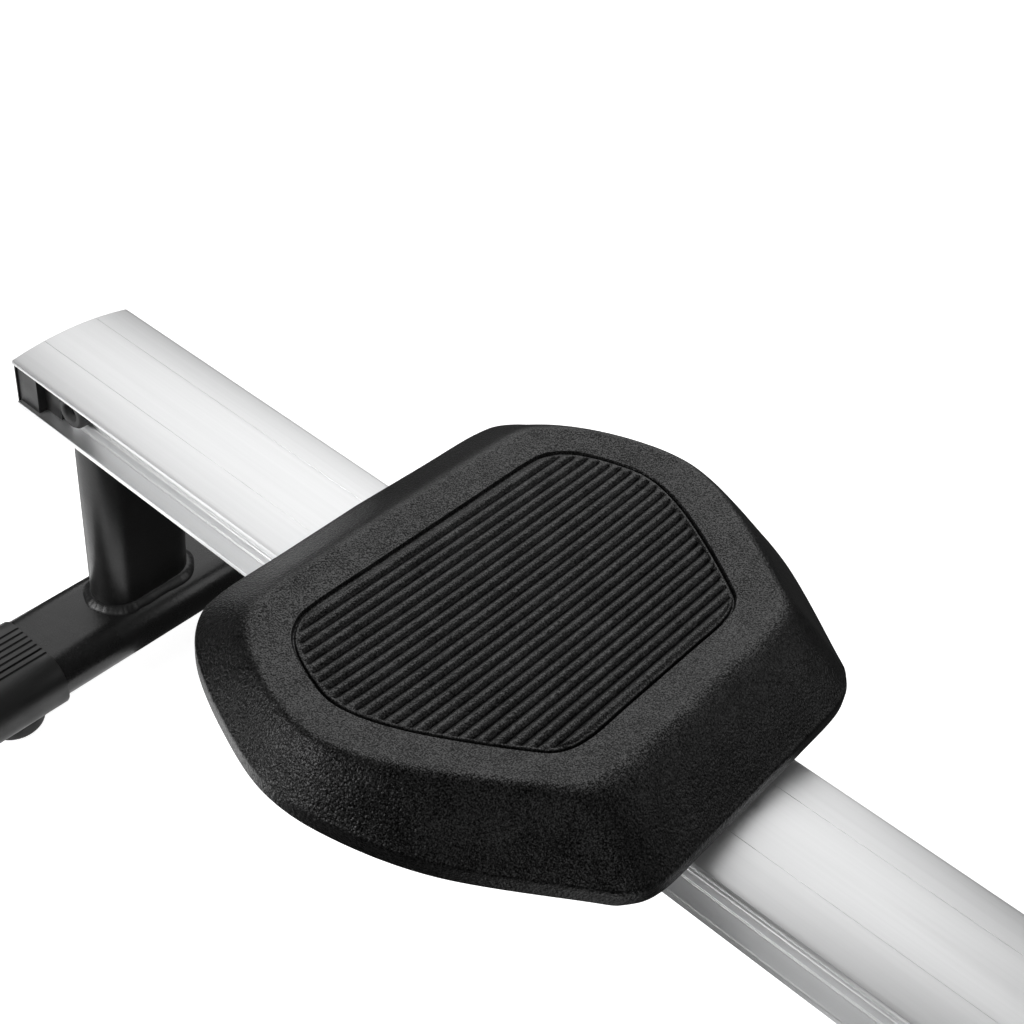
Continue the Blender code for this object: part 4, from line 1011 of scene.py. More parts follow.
def rear_leg():
    cross_tube("rear_crossbar", "rear_tube", "rail_assembly")
    low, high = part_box("rear_post")
    centre = middle("rear_post")
    width, depth = high.y - low.y, high.x - low.x
    loops = [oval(depth, width, 32, (centre.x, 0.0)),
             oval(depth - 0.004, width - 0.004, 24, (centre.x, 0.0))]
    tube = extruded(PLAN, loops, low.z, high.z, 0.0002)
    finish(tube, "post_tube", "rail_assembly", POWDER, "powder_coat", "rear_post")
    weld("post_weld_low", centre, width, depth, 0.0056, 0.0046)
    weld("post_weld_high", centre, width, depth, 0.0040, 0.0034, high.z + 0.0002)
    for side, _ in SIDES:
        node = f"rear_foot_{side}"
        low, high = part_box(node)
        radius, top = (high.x - low.x) / 2, high.z
        profile = [(0.0, 0.0), (radius * 0.62, 0.0), (radius * 0.66, 0.0012),
                   (radius * 0.72, 0.0012), (radius * 0.76, 0.0002), (radius * 0.90, 0.0012),
                   (radius * 0.97, 0.0035), (radius, 0.0070), (radius, top * 0.62),
                   (radius * 0.955, top * 0.64), (radius * 0.955, top * 0.72), (radius, top * 0.74),
                   (radius, top), (0.0, top)]
        place = middle(node)
        mesh = spun((place.x, place.y, 0.0), "Z", profile, 0.0007, 96)
        finish(mesh, f"foot_{side}", "rail_assembly", RUBBER, "rubber", node)


# ---------------------------------------------------------------- shared shapes for the front unit

PEDAL_TILT = 50.0
CONSOLE_TILT = 20.0
CONSOLE_HINGE_Z = 0.878
MAST_AT = 1.680


def fluted(centre, axis, profile, flutes):
    """A turned solid with grip flutes. The profile is (radius, along, flute depth) points."""
    steps = 144
    rings = []
    for radius, along, depth in profile:
        ring = []
        for i in range(steps):
            angle = 2 * math.pi * i / steps
            r = max(1e-5, radius - depth * (0.5 - 0.5 * math.cos(flutes * angle)) ** 1.6)
            ring.append(Vector((r * math.cos(angle), r * math.sin(angle), along)))
        rings.append(ring)
    return moved(lofted(rings), Matrix.Translation(centre) @ TURNS[axis])


def ribbon(path, across, half, thick, edge=0.0004):
    """Flat webbing along world points. across is the direction of its width."""
    points = [Vector(p) for p in path]
    across = Vector(across).normalized()
    rings = []
    for i, point in enumerate(points):
        ahead = points[min(i + 1, len(points) - 1)] - points[max(i - 1, 0)]
        face = ahead.cross(across).normalized()
        edge = min(edge, thick * 0.45)
        section = [(-half, -thick / 2 + edge), (-half + edge, -thick / 2),
                   (half - edge, -thick / 2), (half, -thick / 2 + edge), (half, thick / 2 - edge),
                   (half - edge, thick / 2), (-half + edge, thick / 2), (-half, thick / 2 - edge)]
        rings.append([point + across * u + face * v for u, v in section])
    return lofted(rings)


STITCH = 0.0032


def stitches(path, across, offset, lift):
    """A row of short threads standing on a line of world points."""
    points = [Vector(p) for p in path]
    across = Vector(across).normalized()
    made = []
    travelled = 0.0
    for a, b in zip(points, points[1:]):
        travelled += (b - a).length
        if travelled < STITCH:
            continue
        travelled = 0.0
        along = (b - a).normalized()
        face = along.cross(across).normalized()
        middle_point = b + across * offset + face * lift
        turn = Matrix((along, across, face)).transposed().to_4x4()
        thread = box((-0.0011, -0.00035, -0.0002), (0.0011, 0.00035, 0.0004), 0.00015, 1)
        made.append(moved(thread, Matrix.Translation(middle_point) @ turn))
    return merged(*made)


def bead(name, path, radius):
    """A short fillet weld along a straight line."""
    start, end = (Vector(p) for p in path)
    along = (end - start).normalized()
    side = along.orthogonal().normalized()
    other = along.cross(side)
    count = max(8, int((end - start).length / 0.0012))
    rings = []
    for i in range(count + 1):
        t = i / count
        swell = radius * (1 + 0.16 * abs(math.sin(math.pi * t * count / 3.4)))
        if i in (0, count):
            swell *= 0.45
        centre = start.lerp(end, t)
        rings.append([centre + side * swell * math.cos(a) + other * swell * math.sin(a)
                      for a in (2 * math.pi * k / 12 for k in range(12))])
    finish(lofted(rings), name, "main_frame", GLOSS, "powder_coat")


# ---------------------------------------------------------------- main frame


def main_frame():
    low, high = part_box("main_beam")
    ends = (low.x, high.x)
    tube = tubing(SECTION, (low.y, low.z), (high.y, high.z), 0.002, (0.0075, 0.0055), ends)
    finish(tube, "beam_tube", "main_frame", GLOSS, "powder_coat", "main_beam")
    for end, face, sign in (("rear", low.x, -1), ("front", high.x, 1)):
        parts = []
        for past, inset, edge, segments in ((0.0022, 0.0004, 0.0010, 2),
                                            (-0.012, 0.0024, 0.0050, 4)):
            start, stop = sorted((face, face + sign * past))
            parts.append(box((start, low.y + inset, low.z + inset),
                             (stop, high.y - inset, high.z - inset), edge, segments))
        plug = combined(parts[0], "UNION", parts[1])
        finish(plug, f"beam_plug_{end}", "main_frame", BLACK, "black_plastic")
    for tube_node in ("mid_crossbar", "front_crossbar"):
        cross_tube(tube_node, tube_node.replace("crossbar", "tube"), "main_frame")
        x = middle(tube_node).x
        for side, sign in SIDES:
            line = [(x + ahead, sign * (high.y + 0.0004), low.z) for ahead in (-0.019, 0.019)]
            bead(f"{tube_node}_bead_{side}", line, 0.0032)


def lock_knob():
    low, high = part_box("rail_lock_knob")
    place = middle("rail_lock_knob")
    centre = Vector((place.x, 0, place.z))
    tip, root = high.y, low.y
    profile = [(0.0, tip), (0.0036, tip), (0.0040, tip - 0.0006), (0.0040, tip - 0.0058),
               (0.0, tip - 0.0058)]
    pin = spun(centre, "Y", profile, 0.0002, 48)
    finish(pin, "lock_pin", "rail_lock", STEEL, "steel")
    profile = [(0.0, -0.0363), (0.0090, -0.0363), (0.0090, -0.0450), (0.0078, -0.0478),
               (0.0, -0.0478)]
    collar = spun(centre, "Y", profile, 0.0006, 6)
    finish(collar, "lock_collar", "rail_lock", STEEL, "steel")
    profile = [(0.0004, -0.0470, 0), (0.0062, -0.0470, 0), (0.0060, -0.0515, 0),
               (0.0085, -0.0532, 0), (0.0140, -0.0550, 0.0010), (0.0149, -0.0565, 0.0018),
               (0.0150, -0.0600, 0.0020), (0.0150, -0.0650, 0.0020), (0.0146, -0.0678, 0.0017),
               (0.0132, -0.0696, 0.0008), (0.0105, root + 0.0004, 0), (0.0085, root, 0),
               (0.0004, root, 0)]
    knob = fluted(centre, "Y", profile, 10)
    finish(knob, "lock_knob", "rail_lock", BLACK, "black_plastic", "rail_lock_knob")


def wheels():
    for side, _ in SIDES:
        node = f"wheel_{side}"
        radius, pin = turned_size(node)
        half = 0.0115
        tread = mirrored([(0.0236, half - 0.0008), (0.0250, half), (0.0276, half),
                          (radius - 0.0007, half - 0.0022), (radius, half - 0.0042),
                          (radius, 0.0012)])
        tread.insert(len(tread) // 2, (radius - 0.0011, 0.0))
        tyre = spun(middle(node), "Y", tread, 0.0005, 96)
        finish(tyre, f"tyre_{side}", node, RUBBER, "rubber", node)
        hub = [(0.0, pin), (0.0042, pin), (0.0050, pin - 0.0008), (0.0050, half - 0.0008),
               (0.0088, half - 0.0008), (0.0096, half - 0.0030), (0.0190, half - 0.0042),
               (0.0205, half - 0.0016), (0.0234, half - 0.0012)]
        disc = spun(middle(node), "Y", mirrored(hub), 0.0005, 96)
        tools = []
        for i in range(5):
            angle = 2 * math.pi * i / 5
            place = middle(node) + Vector((0.0143 * math.cos(angle), 0, 0.0143 * math.sin(angle)))
            tools.append(spun(place, "Y", stub(0.0033, 0.02), 0, 24))
        disc = combined(disc, "DIFFERENCE", merged(*tools))
        finish(disc, f"wheel_hub_{side}", node, DARK_TRIM, "black_plastic")


# ---------------------------------------------------------------- pedals


def pedal_frame(side):
    """From a footplate's own flat frame, toes towards +X, to its place."""
    place = middle("pedal_axle")
    across = middle(f"footplate_{side}").y
    return Matrix.Translation((place.x, across, place.z)) @ rotation(-PEDAL_TILT, "Y")


def heel_cup():
    """A low wall round the heel, highest at the back."""
    outer, inner, base, centre = 0.0550, 0.0492, 0.0190, -0.0955
    path = [0.040 - 0.005 * i for i in range(8)]
    rings = []
    spots = [(x, 0.0, 1.0) for x in path]
    spots += [(0.0, *direction) for direction in arc((0.0, 0.0), 1.0, 90, 270, 40)]
    spots += [(x, 0.0, -1.0) for x in reversed(path)]
    for x, dx, dy in spots:
        ahead = x if x > 0 else dx * outer
        share = min(1.0, max(0.0, (0.040 - ahead) / 0.095))
        top = 0.038 + 0.032 * share ** 0.6
        ring = []
        for radius, z in ((outer, base), (outer, top - 0.0022), (outer - 0.0008, top - 0.0006),
                          (outer - 0.0022, top), (inner + 0.0022, top),
                          (inner + 0.0008, top - 0.0006), (inner, top - 0.0022), (inner, base)):
            ring.append(Vector((centre + x + dx * radius, dy * radius, z)))
        rings.append(ring)
    return lofted(rings)


def footplates():
    for side, _ in SIDES:
        frame_place = pedal_frame(side)
        outline = rounded((-0.1500, -0.0550), (0.1500, 0.0550), 0.022, 10)
        slots = [rounded((x - 0.0035, -0.030), (x + 0.0035, 0.030), 0.0034, 6)
                 for x in (-0.128, -0.112)]
        plate = extruded(PLAN, [outline, *slots], 0.0172, 0.0270, 0.0018)
        boss = spun((0, 0, 0), "Y", mirrored([(0.0085, 0.050), (0.0170, 0.050)]), 0.0010, 64)
        web = box((-0.0235, -0.0480, 0.0090), (0.0235, 0.0480, 0.0200), 0.0015)
        web = combined(web, "DIFFERENCE", spun((0, 0, 0), "Y", stub(0.0165, 0.06), 0, 64))
        ribs = [box((-0.140, y - 0.0015, 0.0105), (0.140, y + 0.0015, 0.0182), 0.0006, 1)
                for y in (-0.046, 0.046)]
        rest = combined(plate, "UNION", boss, heel_cup(), *ribs)
        rest = moved(combined(rest, "UNION", web), frame_place)
        node = f"footplate_{side}"
        finish(rest, f"foot_rest_{side}", node, BLACK, "black_plastic", node)
        pads = []
        for i in range(11):
            x = -0.030 + i * 0.0155
            half = 0.044 - 0.006 * max(0.0, (x - 0.09) / 0.05)
            pads.append(box((x, -half, 0.0264), (x + 0.0092, half, 0.0288), 0.0009, 2))
        finish(moved(merged(*pads), frame_place), f"tread_{side}", node, RUBBER, "rubber")
        foot_strap(side, frame_place)


STRAP_AHEAD = 0.047


def strap_arch(reach, crown):
    """The strap's line over the foot, in the footplate's own frame."""
    count = 64
    points = []
    for i in range(count + 1):
        angle = math.pi * i / count
        across = reach * math.copysign(abs(math.cos(angle)) ** 0.7, math.cos(angle))
        points.append((STRAP_AHEAD, across, 0.024 + crown * math.sin(angle) ** 0.8))
    return points


def foot_strap(side, frame_place):
    """Webbing over the foot, with a ladder buckle and a hook-and-loop tail over it."""
    body = f"footplate_{side}"
    reach = 0.0580
    ahead = (1, 0, 0)
    foot = [(STRAP_AHEAD, reach, z) for z in (0.012, 0.018)]
    line = [*foot, *strap_arch(reach, 0.0715), *((x, -y, z) for x, y, z in reversed(foot))]
    web = moved(ribbon(line, ahead, 0.0175, 0.0026), frame_place)
    finish(web, f"strap_web_{side}", body, WEBBING, "webbing", f"foot_strap_{side}")
    upper = strap_arch(0.0603, 0.0738)
    tail = upper[10:34]
    flap = moved(ribbon(tail, ahead, 0.0165, 0.0018), frame_place)
    finish(flap, f"strap_tail_{side}", body, WEBBING, "webbing")
    rows = merged(*(stitches(tail, ahead, offset, 0.0011) for offset in (-0.0140, 0.0140)))
    finish(moved(rows, frame_place), f"strap_stitches_{side}", body, THREAD, "webbing")
    spot = Vector(upper[36])
    bars = [box((-0.0205, -0.0060 + i * 0.0052, -0.0006), (0.0205, -0.0036 + i * 0.0052, 0.0030),
                0.0009, 2) for i in range(3)]
    cheeks = [box((x - 0.0016, -0.0062, -0.0008), (x + 0.0016, 0.0070, 0.0026), 0.0008, 2)
              for x in (-0.0195, 0.0195)]
    buckle = combined(bars[0], "UNION", *bars[1:], *cheeks)
    buckle.transform(Matrix.Translation(spot + Vector((0, 0, 0.0006))))
    finish(moved(buckle, frame_place), f"strap_buckle_{side}", body, BLACK, "black_plastic")


# ---------------------------------------------------------------- casing


def shell_line():
    """The casing's side outline, anticlockwise, as (along, up)."""
    low, high = 0.1180, 0.5400
    rear, front = 1.4560, 1.8600
    points = arc((rear + 0.020, low + 0.020), 0.020, 180, 270, 8)
    points += arc((front - 0.060, low + 0.060), 0.060, 270, 360, 14)
    points += arc((front - 0.110, high - 0.160), 0.110, 0, 55, 14)
    points += arc((1.640, high - 0.070), 0.070, 60, 100, 8)
    points += arc((rear + 0.045, high - 0.060), 0.045, 95, 180, 12)
    return resampled(points, 260)


def resampled(points, count):
    """A closed outline with evenly spread points."""
    line = np.array([*points, points[0]])
    length = np.concatenate([[0], np.cumsum(np.linalg.norm(np.diff(line, axis=0), axis=1))])
    spread = np.linspace(0, length[-1], count, endpoint=False)
    return np.stack([np.interp(spread, length, line[:, k]) for k in range(2)], 1)


def inward(loop, distance):
    """An anticlockwise outline moved in by a distance, with even normals."""
    return loop + distance * normals(loop, 2)


# How far in from the casing's outline, and how far out from the middle: the shell's rounded edge.
SHELL_CROWN = ((0.0, 0.0008), (0.0, 0.0300), (0.0, 0.0450), (0.0005, 0.0495), (0.0020, 0.0534),
               (0.0045, 0.0564), (0.0080, 0.0587), (0.0115, 0.0600), (0.0150, 0.0607))
# The casing's openings at the bottom, the rear and the top: two corners as (along, up), and
# half the width.
SHELL_OPENINGS = (((1.529, 0.100), (1.842, 0.130), 0.040), ((1.440, 0.442), (1.480, 0.512), 0.037),
                  ((1.662, 0.460), (1.698, 0.560), 0.0275))
SHELL_SCREWS = ((1.480, 0.150), (1.480, 0.420), (1.560, 0.505), (1.745, 0.470), (1.832, 0.200),
                (1.640, 0.140))
SHELL_FACE = 0.0606
VENTS = 30
# The ring round the vents and the cover over the hub: (radius, how far out from the shell's face).
ACCENT_RING = ((0.1010, 0.0), (0.1016, 0.0018), (0.1030, 0.0024), (0.1075, 0.0024),
               (0.1088, 0.0018), (0.1094, 0.0))
HUB_COVER = ((0.0, 0.0044), (0.030, 0.0038), (0.044, 0.0026), (0.0500, 0.0010), (0.0512, -0.0004),
             (0.0, -0.0004))
TURNED_TRIM = ((ACCENT_RING, 0.0004, 144, "accent_ring", STEEL),
               (HUB_COVER, 0.0008, 96, "hub_cover", DARK_TRIM))


def shell_mesh(outline, sign, hub):
    """One half of the casing, with its vents and openings."""

    def ring(distance, y):
        loop = inward(outline, distance) if distance else outline
        return [Vector((REAR + p[0], sign * y, p[1])) for p in loop]

    inside = [ring(0.0125, 0.0576), ring(0.0045, 0.0500), ring(0.003, 0.0008)]
    shell = lofted(inside + [ring(*row) for row in SHELL_CROWN])
    vents = []
    for i in range(VENTS):
        slot = box((0.060, -0.08, -0.0022), (0.094, 0.08, 0.0022), 0.0018, 2)
        turn = Matrix.Rotation(-2 * math.pi * i / VENTS, 4, "Y")
        vents.append(moved(slot, Matrix.Translation(hub) @ turn))
    shell = combined(shell, "DIFFERENCE", merged(*vents))
    for (x0, z0), (x1, z1), half in SHELL_OPENINGS:
        opening = box((REAR + x0, -half, z0), (REAR + x1, half, z1), 0.0030, 3)
        shell = combined(shell, "DIFFERENCE", opening)
    return shell


def casing():
    outline = shell_line()
    wheel = middle("flywheel")
    hub = Vector((wheel.x, 0, wheel.z))
    for side, sign in SIDES:
        shell = shell_mesh(outline, sign, hub)
        finish(shell, f"shell_{side}", "main_frame", CASING, "casing", f"casing_{side}")
        for profile, rounding, steps, name, material in TURNED_TRIM:
            profile = [(radius, sign * (SHELL_FACE + out)) for radius, out in profile]
            disc = spun(hub, "Y", profile, rounding, steps)
            finish(disc, f"{name}_{side}", "main_frame", material, "casing")
        for i, (along, up) in enumerate(SHELL_SCREWS):
            place = at(along, sign * (SHELL_FACE - 0.0003), up)
            head = screw_head(place, (0, sign, 0), 0.0040, 0.0018, True)
            finish(head, f"shell_screw_{side}_{i}", "main_frame", DARK_STEEL, "casing")


# ---------------------------------------------------------------- mast, knob and console


def mast():
    low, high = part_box("mast")
    tube = tubing(PLAN, low[:2], high[:2], 0.002, (0.0062, 0.0045), (low.z, 0.860))
    x = middle("mast").x
    knob_z = middle("tension_knob").z
    ears = []
    for _, sign in SIDES:
        loop = arc((x, CONSOLE_HINGE_Z), 0.0115, 0, 180, 20)
        loop += [(x - 0.0115, 0.842), (x + 0.0115, 0.842)]
        hole = circle((x, CONSOLE_HINGE_Z), 0.0045, 24)
        across = sign * 0.0225
        ears.append(extruded(SIDE, [loop, hole], across - 0.0020, across + 0.0020, 0.0004))
    hole = spun((low.x, 0, knob_z), "X", stub(0.005, 0.006), 0, 32)
    tube = combined(combined(tube, "UNION", *ears), "DIFFERENCE", hole)
    finish(tube, "mast_tube", "main_frame", POWDER, "powder_coat", "mast")
    arrow = [(-0.0030, knob_z + 0.0330), (0.0030, knob_z + 0.0330), (0.0, knob_z + 0.0272)]
    marker = extruded(SECTION, [arrow], low.x - 0.0006, low.x + 0.0003, 0.0002)
    finish(marker, "tension_marker", "main_frame", NYLON, "black_plastic")


def tension_knob():
    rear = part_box("tension_knob")[0].x
    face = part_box("mast")[0].x
    z = middle("tension_knob").z
    profile = [(0.0004, 0.0078, 0), (0.0040, 0.0078, 0), (0.0040, -0.0004, 0), (0.0228, -0.0004, 0),
               (0.0235, -0.0012, 0), (0.0235, -0.0048, 0), (0.0226, -0.0062, 0),
               (0.0205, -0.0078, 0.0004), (0.0199, -0.0095, 0.0014), (0.0194, -0.0150, 0.0017),
               (0.0190, -0.0210, 0.0016), (0.0180, -0.0236, 0.0009), (0.0160, -0.0249, 0),
               (0.0135, -0.0250, 0), (0.0125, -0.0243, 0), (0.0004, -0.0243, 0)]
    knob = fluted(Vector((face, 0, z)), "X", profile, 18)
    finish(knob, "knob_grip", "tension_knob", BLACK, "black_plastic", "tension_knob")
    line = box((rear, -0.0011, z + 0.0040), (rear + 0.0040, 0.0011, z + 0.0150), 0.0005, 2)
    finish(line, "knob_line", "tension_knob", NYLON, "black_plastic")
    dots = []
    for i in range(8):
        mark = box((-0.0052, -0.0006, 0.0226), (-0.0020, 0.0006, 0.0236), 0.0002, 1)
        turn = rotation(135 - i * 270 / 7, "X")
        dots.append(moved(mark, Matrix.Translation((face, 0, z)) @ turn))
    finish(merged(*dots), "knob_scale", "tension_knob", NYLON, "black_plastic")


SEGMENTS = {"0": "abcdef", "1": "bc", "2": "abged", "3": "abgcd", "4": "fgbc", "5": "afgcd",
            "6": "afgedc", "7": "abc", "8": "abcdefg", "9": "abcdfg"}


def digit(figure, corner, height):
    """One seven-segment digit in the screen's plane. corner is its lower left, as (across, up)."""
    width, thick = height * 0.55, height * 0.12
    half, x0, z0 = height / 2, corner[0], corner[1]
    places = {"a": (0, height, 1), "b": (width, half, 0), "c": (width, 0, 0), "d": (0, 0, 1),
              "e": (0, 0, 0), "f": (0, half, 0), "g": (0, half, 1)}
    made = []
    for segment in SEGMENTS[figure]:
        y, z, flat = places[segment]
        length = width if flat else 0
        shrink = thick * 0.62
        inset = shrink if flat else -thick / 2
        bottom, top = (-thick / 2, thick / 2) if flat else (shrink, half - shrink)
        low = (-0.0003, -(x0 + y + length - inset), z0 + z + bottom)
        high = (0.0, -(x0 + y + inset), z0 + z + top)
        made.append(box(low, high, thick * 0.2, 1))
    return made


# The display's figures: the lower left corner as (across, up), and the height.
DISPLAY = (("1248", (-0.068, 0.103), 0.024), ("32", (0.030, 0.103), 0.024),
           ("550", (-0.068, 0.070), 0.016), ("27", (-0.010, 0.070), 0.016),
           ("103", (0.030, 0.070), 0.016))


def console():
    place = Matrix.Translation(at(MAST_AT, 0, CONSOLE_HINGE_Z)) @ rotation(CONSOLE_TILT, "Y")
    rings = []
    for x, inset in ((-0.0220, 0.0050), (-0.0214, 0.0026), (-0.0196, 0.0008), (-0.0170, 0.0),
                     (-0.0060, 0.0), (-0.0048, 0.0008), (-0.0036, 0.0), (0.0010, 0.0010),
                     (0.0070, 0.0060), (0.0105, 0.0130), (0.0118, 0.0230)):
        low, high = (-0.105 + inset, 0.022 + inset), (0.105 - inset, 0.150 - inset)
        loop = rounded(low, high, 0.020, 10)
        rings.append([Vector((x, y, z)) for y, z in loop])
    case = lofted(rings)
    neck = box((-0.0098, -0.0178, -0.002), (0.0098, 0.0178, 0.034), 0.0025)
    barrel = spun((0, 0, 0), "Y", stub(0.0100, 0.0200), 0.0007, 64)
    pins = spun((0, 0, 0), "Y", stub(0.0040, 0.0243), 0.0004, 40)
    case = combined(case, "UNION", neck, barrel, pins)
    pocket = box((-0.0300, -0.0795, 0.0625), (-0.0192, 0.0795, 0.1375), 0.0040, 4)
    wells = [spun((-0.0210, across, 0.042), "X", stub(0.0084, 0.006), 0, 48)
             for across in (0.030, -0.030)]
    grille = [box((0.006, -0.030, 0.112 + i * 0.006), (0.014, 0.030, 0.1145 + i * 0.006), 0.0009, 1)
              for i in range(4)]
    case = combined(case, "DIFFERENCE", pocket, *wells, *grille)
    finish(moved(case, place), "console_shell", "console", CASING, "black_plastic", "console_case")
    window = box((-0.0208, -0.0788, 0.0632), (-0.0196, 0.0788, 0.1368), 0.0004, 2)
    finish(moved(window, place), "console_window", "console", WINDOW, "screen", "console_screen")
    inks = []
    for text, corner, height in DISPLAY:
        for i, figure in enumerate(text):
            inks += digit(figure, (corner[0] + i * height * 0.82, corner[1]), height)
    ink = moved(merged(*inks), place @ Matrix.Translation((-0.0207, 0, 0)))
    finish(ink, "console_digits", "console", INK, "screen")
    rule = moved(box((-0.0211, -0.072, 0.0955), (-0.0207, 0.072, 0.0963), 0.0001, 1), place)
    finish(rule, "console_rule", "console", INK, "screen")
    for side, sign in SIDES:
        profile = [(0.0, 0.0025), (0.0080, 0.0025), (0.0080, -0.0030), (0.0072, -0.0040),
                   (0.0058, -0.0044), (0.0046, -0.0039), (0.0, -0.0036)]
        button = spun((-0.0200, sign * 0.030, 0.042), "X", profile, 0.0005, 64)
        button = moved(button, place)
        finish(button, f"push_button_{side}", f"button_{side}", DARK_TRIM, "rubber",
               f"console_button_{side}")


# ---------------------------------------------------------------- handle and pull strap


HANDLE_AT = 1.392
HANDLE_UP = 0.485
# The pull strap's path has closely spaced points between these distances along.
STRETCH = (1.430, 1.4125)


def handle():
    x, z = REAR + HANDLE_AT, HANDLE_UP
    tip, bend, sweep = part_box("handle_bar")[1].y, 0.095, math.radians(10)
    knots = []
    outward_half = [0.060, bend - 0.012, bend + 0.012, 0.120, 0.170, tip - 0.004]
    for across in [-y for y in reversed(outward_half)] + [0.0] + outward_half:
        past = max(0.0, abs(across) - bend) * math.tan(sweep)
        knots.append((x - past, across, z))
    tube = bar([Vector(p) for p in smooth(knots, 6)], 0.011, 32)
    finish(tube, "handle_tube", "handle", BLACK_COAT, "powder_coat", "handle_bar")
    rings = []
    for y, grow in ((-0.0180, -0.0030), (-0.0172, -0.0010), (-0.0150, 0.0), (0.0150, 0.0),
                    (0.0172, -0.0010), (0.0180, -0.0030)):
        low = (x - 0.0153 - grow * 0.6, z - 0.0148 - grow)
        high = (x + 0.0173 + grow * 0.6, z + 0.0148 + grow)
        loop = rounded(low, high, 0.0090, 8)
        rings.append([Vector((u, y, v)) for u, v in loop])
    finish(lofted(rings), "handle_yoke", "handle", BLACK, "black_plastic")
    for side, sign in SIDES:
        head = screw_head((x, sign * 0.0072, z + 0.0146), (0, 0, 1), 0.0032, 0.0014)
        finish(head, f"yoke_screw_{side}", "handle", STEEL, "steel")
        node = f"grip_{side}"
        turn = Matrix.Translation(middle(node)) @ Matrix.Rotation(sign * sweep, 4, "Z") @ TURNS["Y"]
        half = 0.0590
        skin = [(0.0114, half), (0.0140, half), (0.0152, half - 0.0012), (0.0155, half - 0.0040)]
        for i in range(13):
            spot = half - 0.010 - i * (2 * half - 0.020) / 12
            skin += [(0.0155, spot + 0.0018), (0.0149, spot), (0.0155, spot - 0.0018)]
        skin += [(0.0155, -half + 0.0040), (0.0152, -half + 0.0012), (0.0140, -half),
                 (0.0114, -half)]
        pad = moved(spun((0, 0, 0), "Z", skin, 0.0005, 72), turn)
        finish(pad, f"grip_foam_{side}", "handle", FOAM, "grip_foam", node)
        end = [(0.0, 0.0), (0.0108, 0.0), (0.0125, 0.0006), (0.0128, 0.0020), (0.0115, 0.0040),
               (0.0, 0.0046)]
        outer_end = half + 0.0002
        flip = rotation(0 if sign > 0 else 180, "X")
        plug = moved(spun((0, 0, outer_end), "Z", end, 0.0004, 48), turn @ flip)
        finish(plug, f"grip_plug_{side}", "handle", BLACK, "black_plastic")


def pull_strap():
    low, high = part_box("pull_strap")
    z = (low.z + high.z) / 2
    stretch_from, stretch_to = (REAR + along for along in STRETCH)
    xs = [*np.linspace(high.x, stretch_from, 40), *np.linspace(stretch_from, stretch_to, 120)[1:],
          *np.linspace(stretch_to, low.x, 6)[1:]]
    path = [(x, 0, z) for x in xs]
    strap = ribbon(path, (0, 1, 0), (high.y - low.y) / 2, high.z - low.z, 0.0003)
    strap = finish(strap, "strap_webbing", None, WEBBING, "webbing", "pull_strap")
    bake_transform(strap)


def strap_guide():
    node = "strap_guide_roller"
    half, core = 0.0290, 0.0100
    profile = mirrored([(0.0, 0.0345), (0.0040, 0.0345), (0.0040, half), (core + 0.0020, half),
                        (core + 0.0020, 0.0152), (core + 0.0012, 0.0140), (core, 0.0130)])
    roller = spun(middle(node), "Y", profile, 0.0004, 72)
    finish(roller, "guide_roller", "strap_guide", NYLON, "white_plastic", node)


# ---------------------------------------------------------------- camera, light and floor


WHITE = (1.0, 1.0, 1.0, 1.0)
AMBIENT = 0.05
FLOOR_SIZE = 90.0
# Just under the CAD floor, so nothing that stands on it shares its plane.
FLOOR_UP = -0.0003
CARD_UP = -0.0002
# Each lamp: what it is aimed at, its place from there, its size and its power in watts.
LAMPS = {
    "overhead": ("seat_pad", (-1.7, 1.9, 2.3), (4.6, 4.6), 82),
    "key": ("seat_pad", (-1.05, -1.75, 0.75), (1.3, 1.0), 32),
    "unit": ("casing_left", (0.9, -1.5, 1.9), (1.5, 1.5), 20),
    "unit_rear": ("casing_left", (0.6, 1.9, 1.5), (1.5, 1.5), 12),
}
# Each card: its place from the seat, its place across, and its size.
CARDS = {
    "card_rear": (-0.50, -0.41, (0.60, 0.78)),
    "card_front": (0.38, -0.24, (0.36, 0.22)),
}
# The photograph's camera, solved from the rail's long edges and the seat's ribs.
CAMERA_PLACE = (-0.2299, -0.4649, 0.8305)
CAMERA_RIGHT = (0.7514, 0.6519, 0.1018)
CAMERA_UP = (-0.4896, 0.4474, 0.7483)
LENS = 52.92
SENSOR = 36.0


def floor_material():
    s = Surface("floor", Specular_IOR_Level=0.2, Emission_Color=WHITE, Emission_Strength=0.86)
    return s.set(Base_Color=s.colour(s.noise(0.7, 2), grey(0.80), grey(0.80 * 1.02)),
                 Roughness=s.between(s.noise(3, 2), 0.75, 0.85))


def area(name, place, target, size, power):
    """A rectangular lamp that faces its target."""
    lamp = bpy.data.lights.new(name, "AREA")
    lamp.shape = "RECTANGLE"
    lamp.size, lamp.size_y = size
    lamp.energy = power
    obj = added(name, lamp)
    obj.location = place
    obj.rotation_mode = "QUATERNION"
    obj.rotation_quaternion = (target - place).to_track_quat("-Z", "Y")


def staged_plane(name, centre, size, height, material):
    """A flat piece of the studio that casts no shadow and gives no bounced light."""
    bm = bmesh.new()
    corners = [(centre[0] + x * size[0] / 2, centre[1] + y * size[1] / 2, height)
               for x, y in ((-1, -1), (1, -1), (1, 1), (-1, 1))]
    bm.faces.new([bm.verts.new(c) for c in corners])
    mesh = bpy.data.meshes.new(name)
    bm.to_mesh(mesh)
    bm.free()
    mesh.materials.append(material)
    obj = added(name, mesh)
    obj.visible_diffuse = False
    obj.visible_shadow = False
    return obj


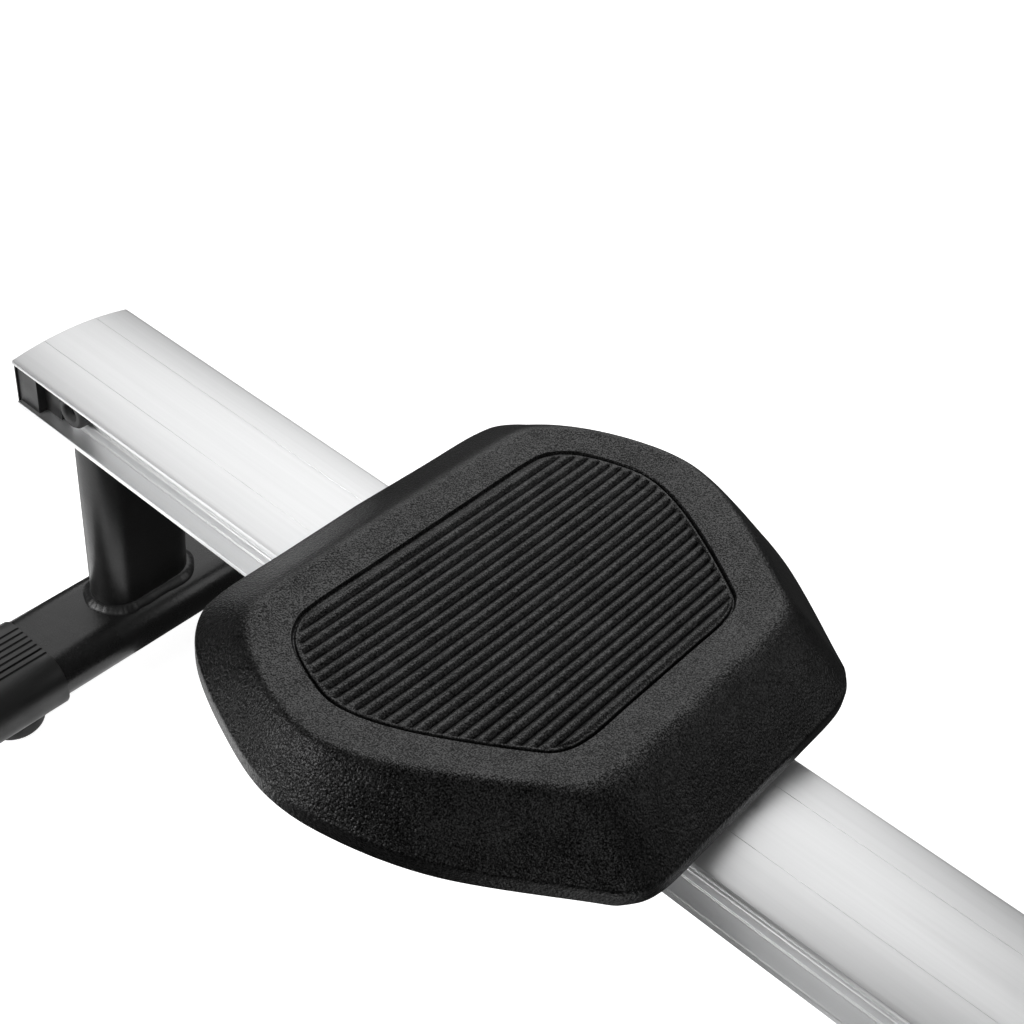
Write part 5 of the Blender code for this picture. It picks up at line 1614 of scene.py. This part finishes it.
def stage():
    """A white studio: a floor, a world that only the camera sees as white, cards and lamps."""
    pale = floor_material()
    floor = staged_plane("floor", (0.0, 0.0), (FLOOR_SIZE, FLOOR_SIZE), FLOOR_UP, pale)
    floor.visible_glossy = False
    world = bpy.data.worlds.new("studio")
    bpy.context.scene.world = world
    world.use_nodes = True
    tree = world.node_tree
    background = tree.nodes["Background"]
    background.inputs["Color"].default_value = WHITE
    seen = tree.nodes.new("ShaderNodeLightPath").outputs["Is Camera Ray"]
    strength = tree.nodes.new("ShaderNodeMapRange")
    strength.inputs["To Min"].default_value = AMBIENT
    tree.links.new(seen, strength.inputs["Value"])
    tree.links.new(strength.outputs["Result"], background.inputs["Strength"])
    for name, (node, offset, size, power) in LAMPS.items():
        area(name, middle(node) + Vector(offset), middle(node), size, power)
    for name, (ahead, across, size) in CARDS.items():
        card = staged_plane(name, (middle("seat_pad").x + ahead, across), size, CARD_UP, pale)
        card.visible_camera = False
    bpy.context.scene.view_settings.view_transform = "Standard"


def camera():
    """The photograph's camera."""
    right = Vector(CAMERA_RIGHT)
    back = right.cross(Vector(CAMERA_UP)).normalized()
    up = back.cross(right).normalized()
    data = bpy.data.cameras.new("camera")
    data.sensor_width = SENSOR
    data.lens = LENS
    data.clip_start = 0.01
    obj = added("camera", data)
    turn = Matrix((right, up, back)).transposed().to_4x4()
    obj.matrix_world = Matrix.Translation(CAMERA_PLACE) @ turn
    bpy.context.scene.camera = obj


# ---------------------------------------------------------------- carried-over nodes

KEPT = {
    "rail_end_cap": (BLACK, 0.0002),
    "rail_hinge_block": (STEEL, 0.0008),
    "seat_carriage": (STEEL, 0.0004),
    "hinge_bracket": (GLOSS, 0.0006),
    "hinge_bolt": (STEEL, 0.0004),
    "pedal_support": (GLOSS, 0.0008),
    "pedal_axle": (STEEL, 0.0006),
    "bearing_frame": (DARK_STEEL, 0.0004),
    "flywheel_axle": (STEEL, 0.0003),
    "drive_axle": (STEEL, 0.0003),
    "drive_belt": (RUBBER, 0.0003),
    "magnet_bracket": (STEEL, 0.0005),
    "brake_cable": (RUBBER, 0.0),
    "handle_rest": (DARK_STEEL, 0.0008),
    "flywheel": (IRON, 0.0006),
    "drive_pulley": (BLACK, 0.0004),
    "strap_reel": (BLACK, 0.0004),
}


def dress_kept_nodes():
    """Gives each CAD node still shown its finish and eased edges."""
    for name, (material, edge) in KEPT.items():
        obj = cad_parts[name]
        for slot in obj.material_slots:
            slot.material = material
        if edge:
            modifier = obj.modifiers.new("ease", "BEVEL")
            modifier.width = edge
            modifier.segments = 2
            modifier.limit_method = "ANGLE"
            modifier.angle_limit = math.radians(35)


camera()
seat_cushion()
seat_rollers()
rail()
bumpers()
foot_caps()
rear_leg()
main_frame()
lock_knob()
wheels()
footplates()
casing()
mast()
tension_knob()
console()
handle()
pull_strap()
strap_guide()
dress_kept_nodes()
stage()
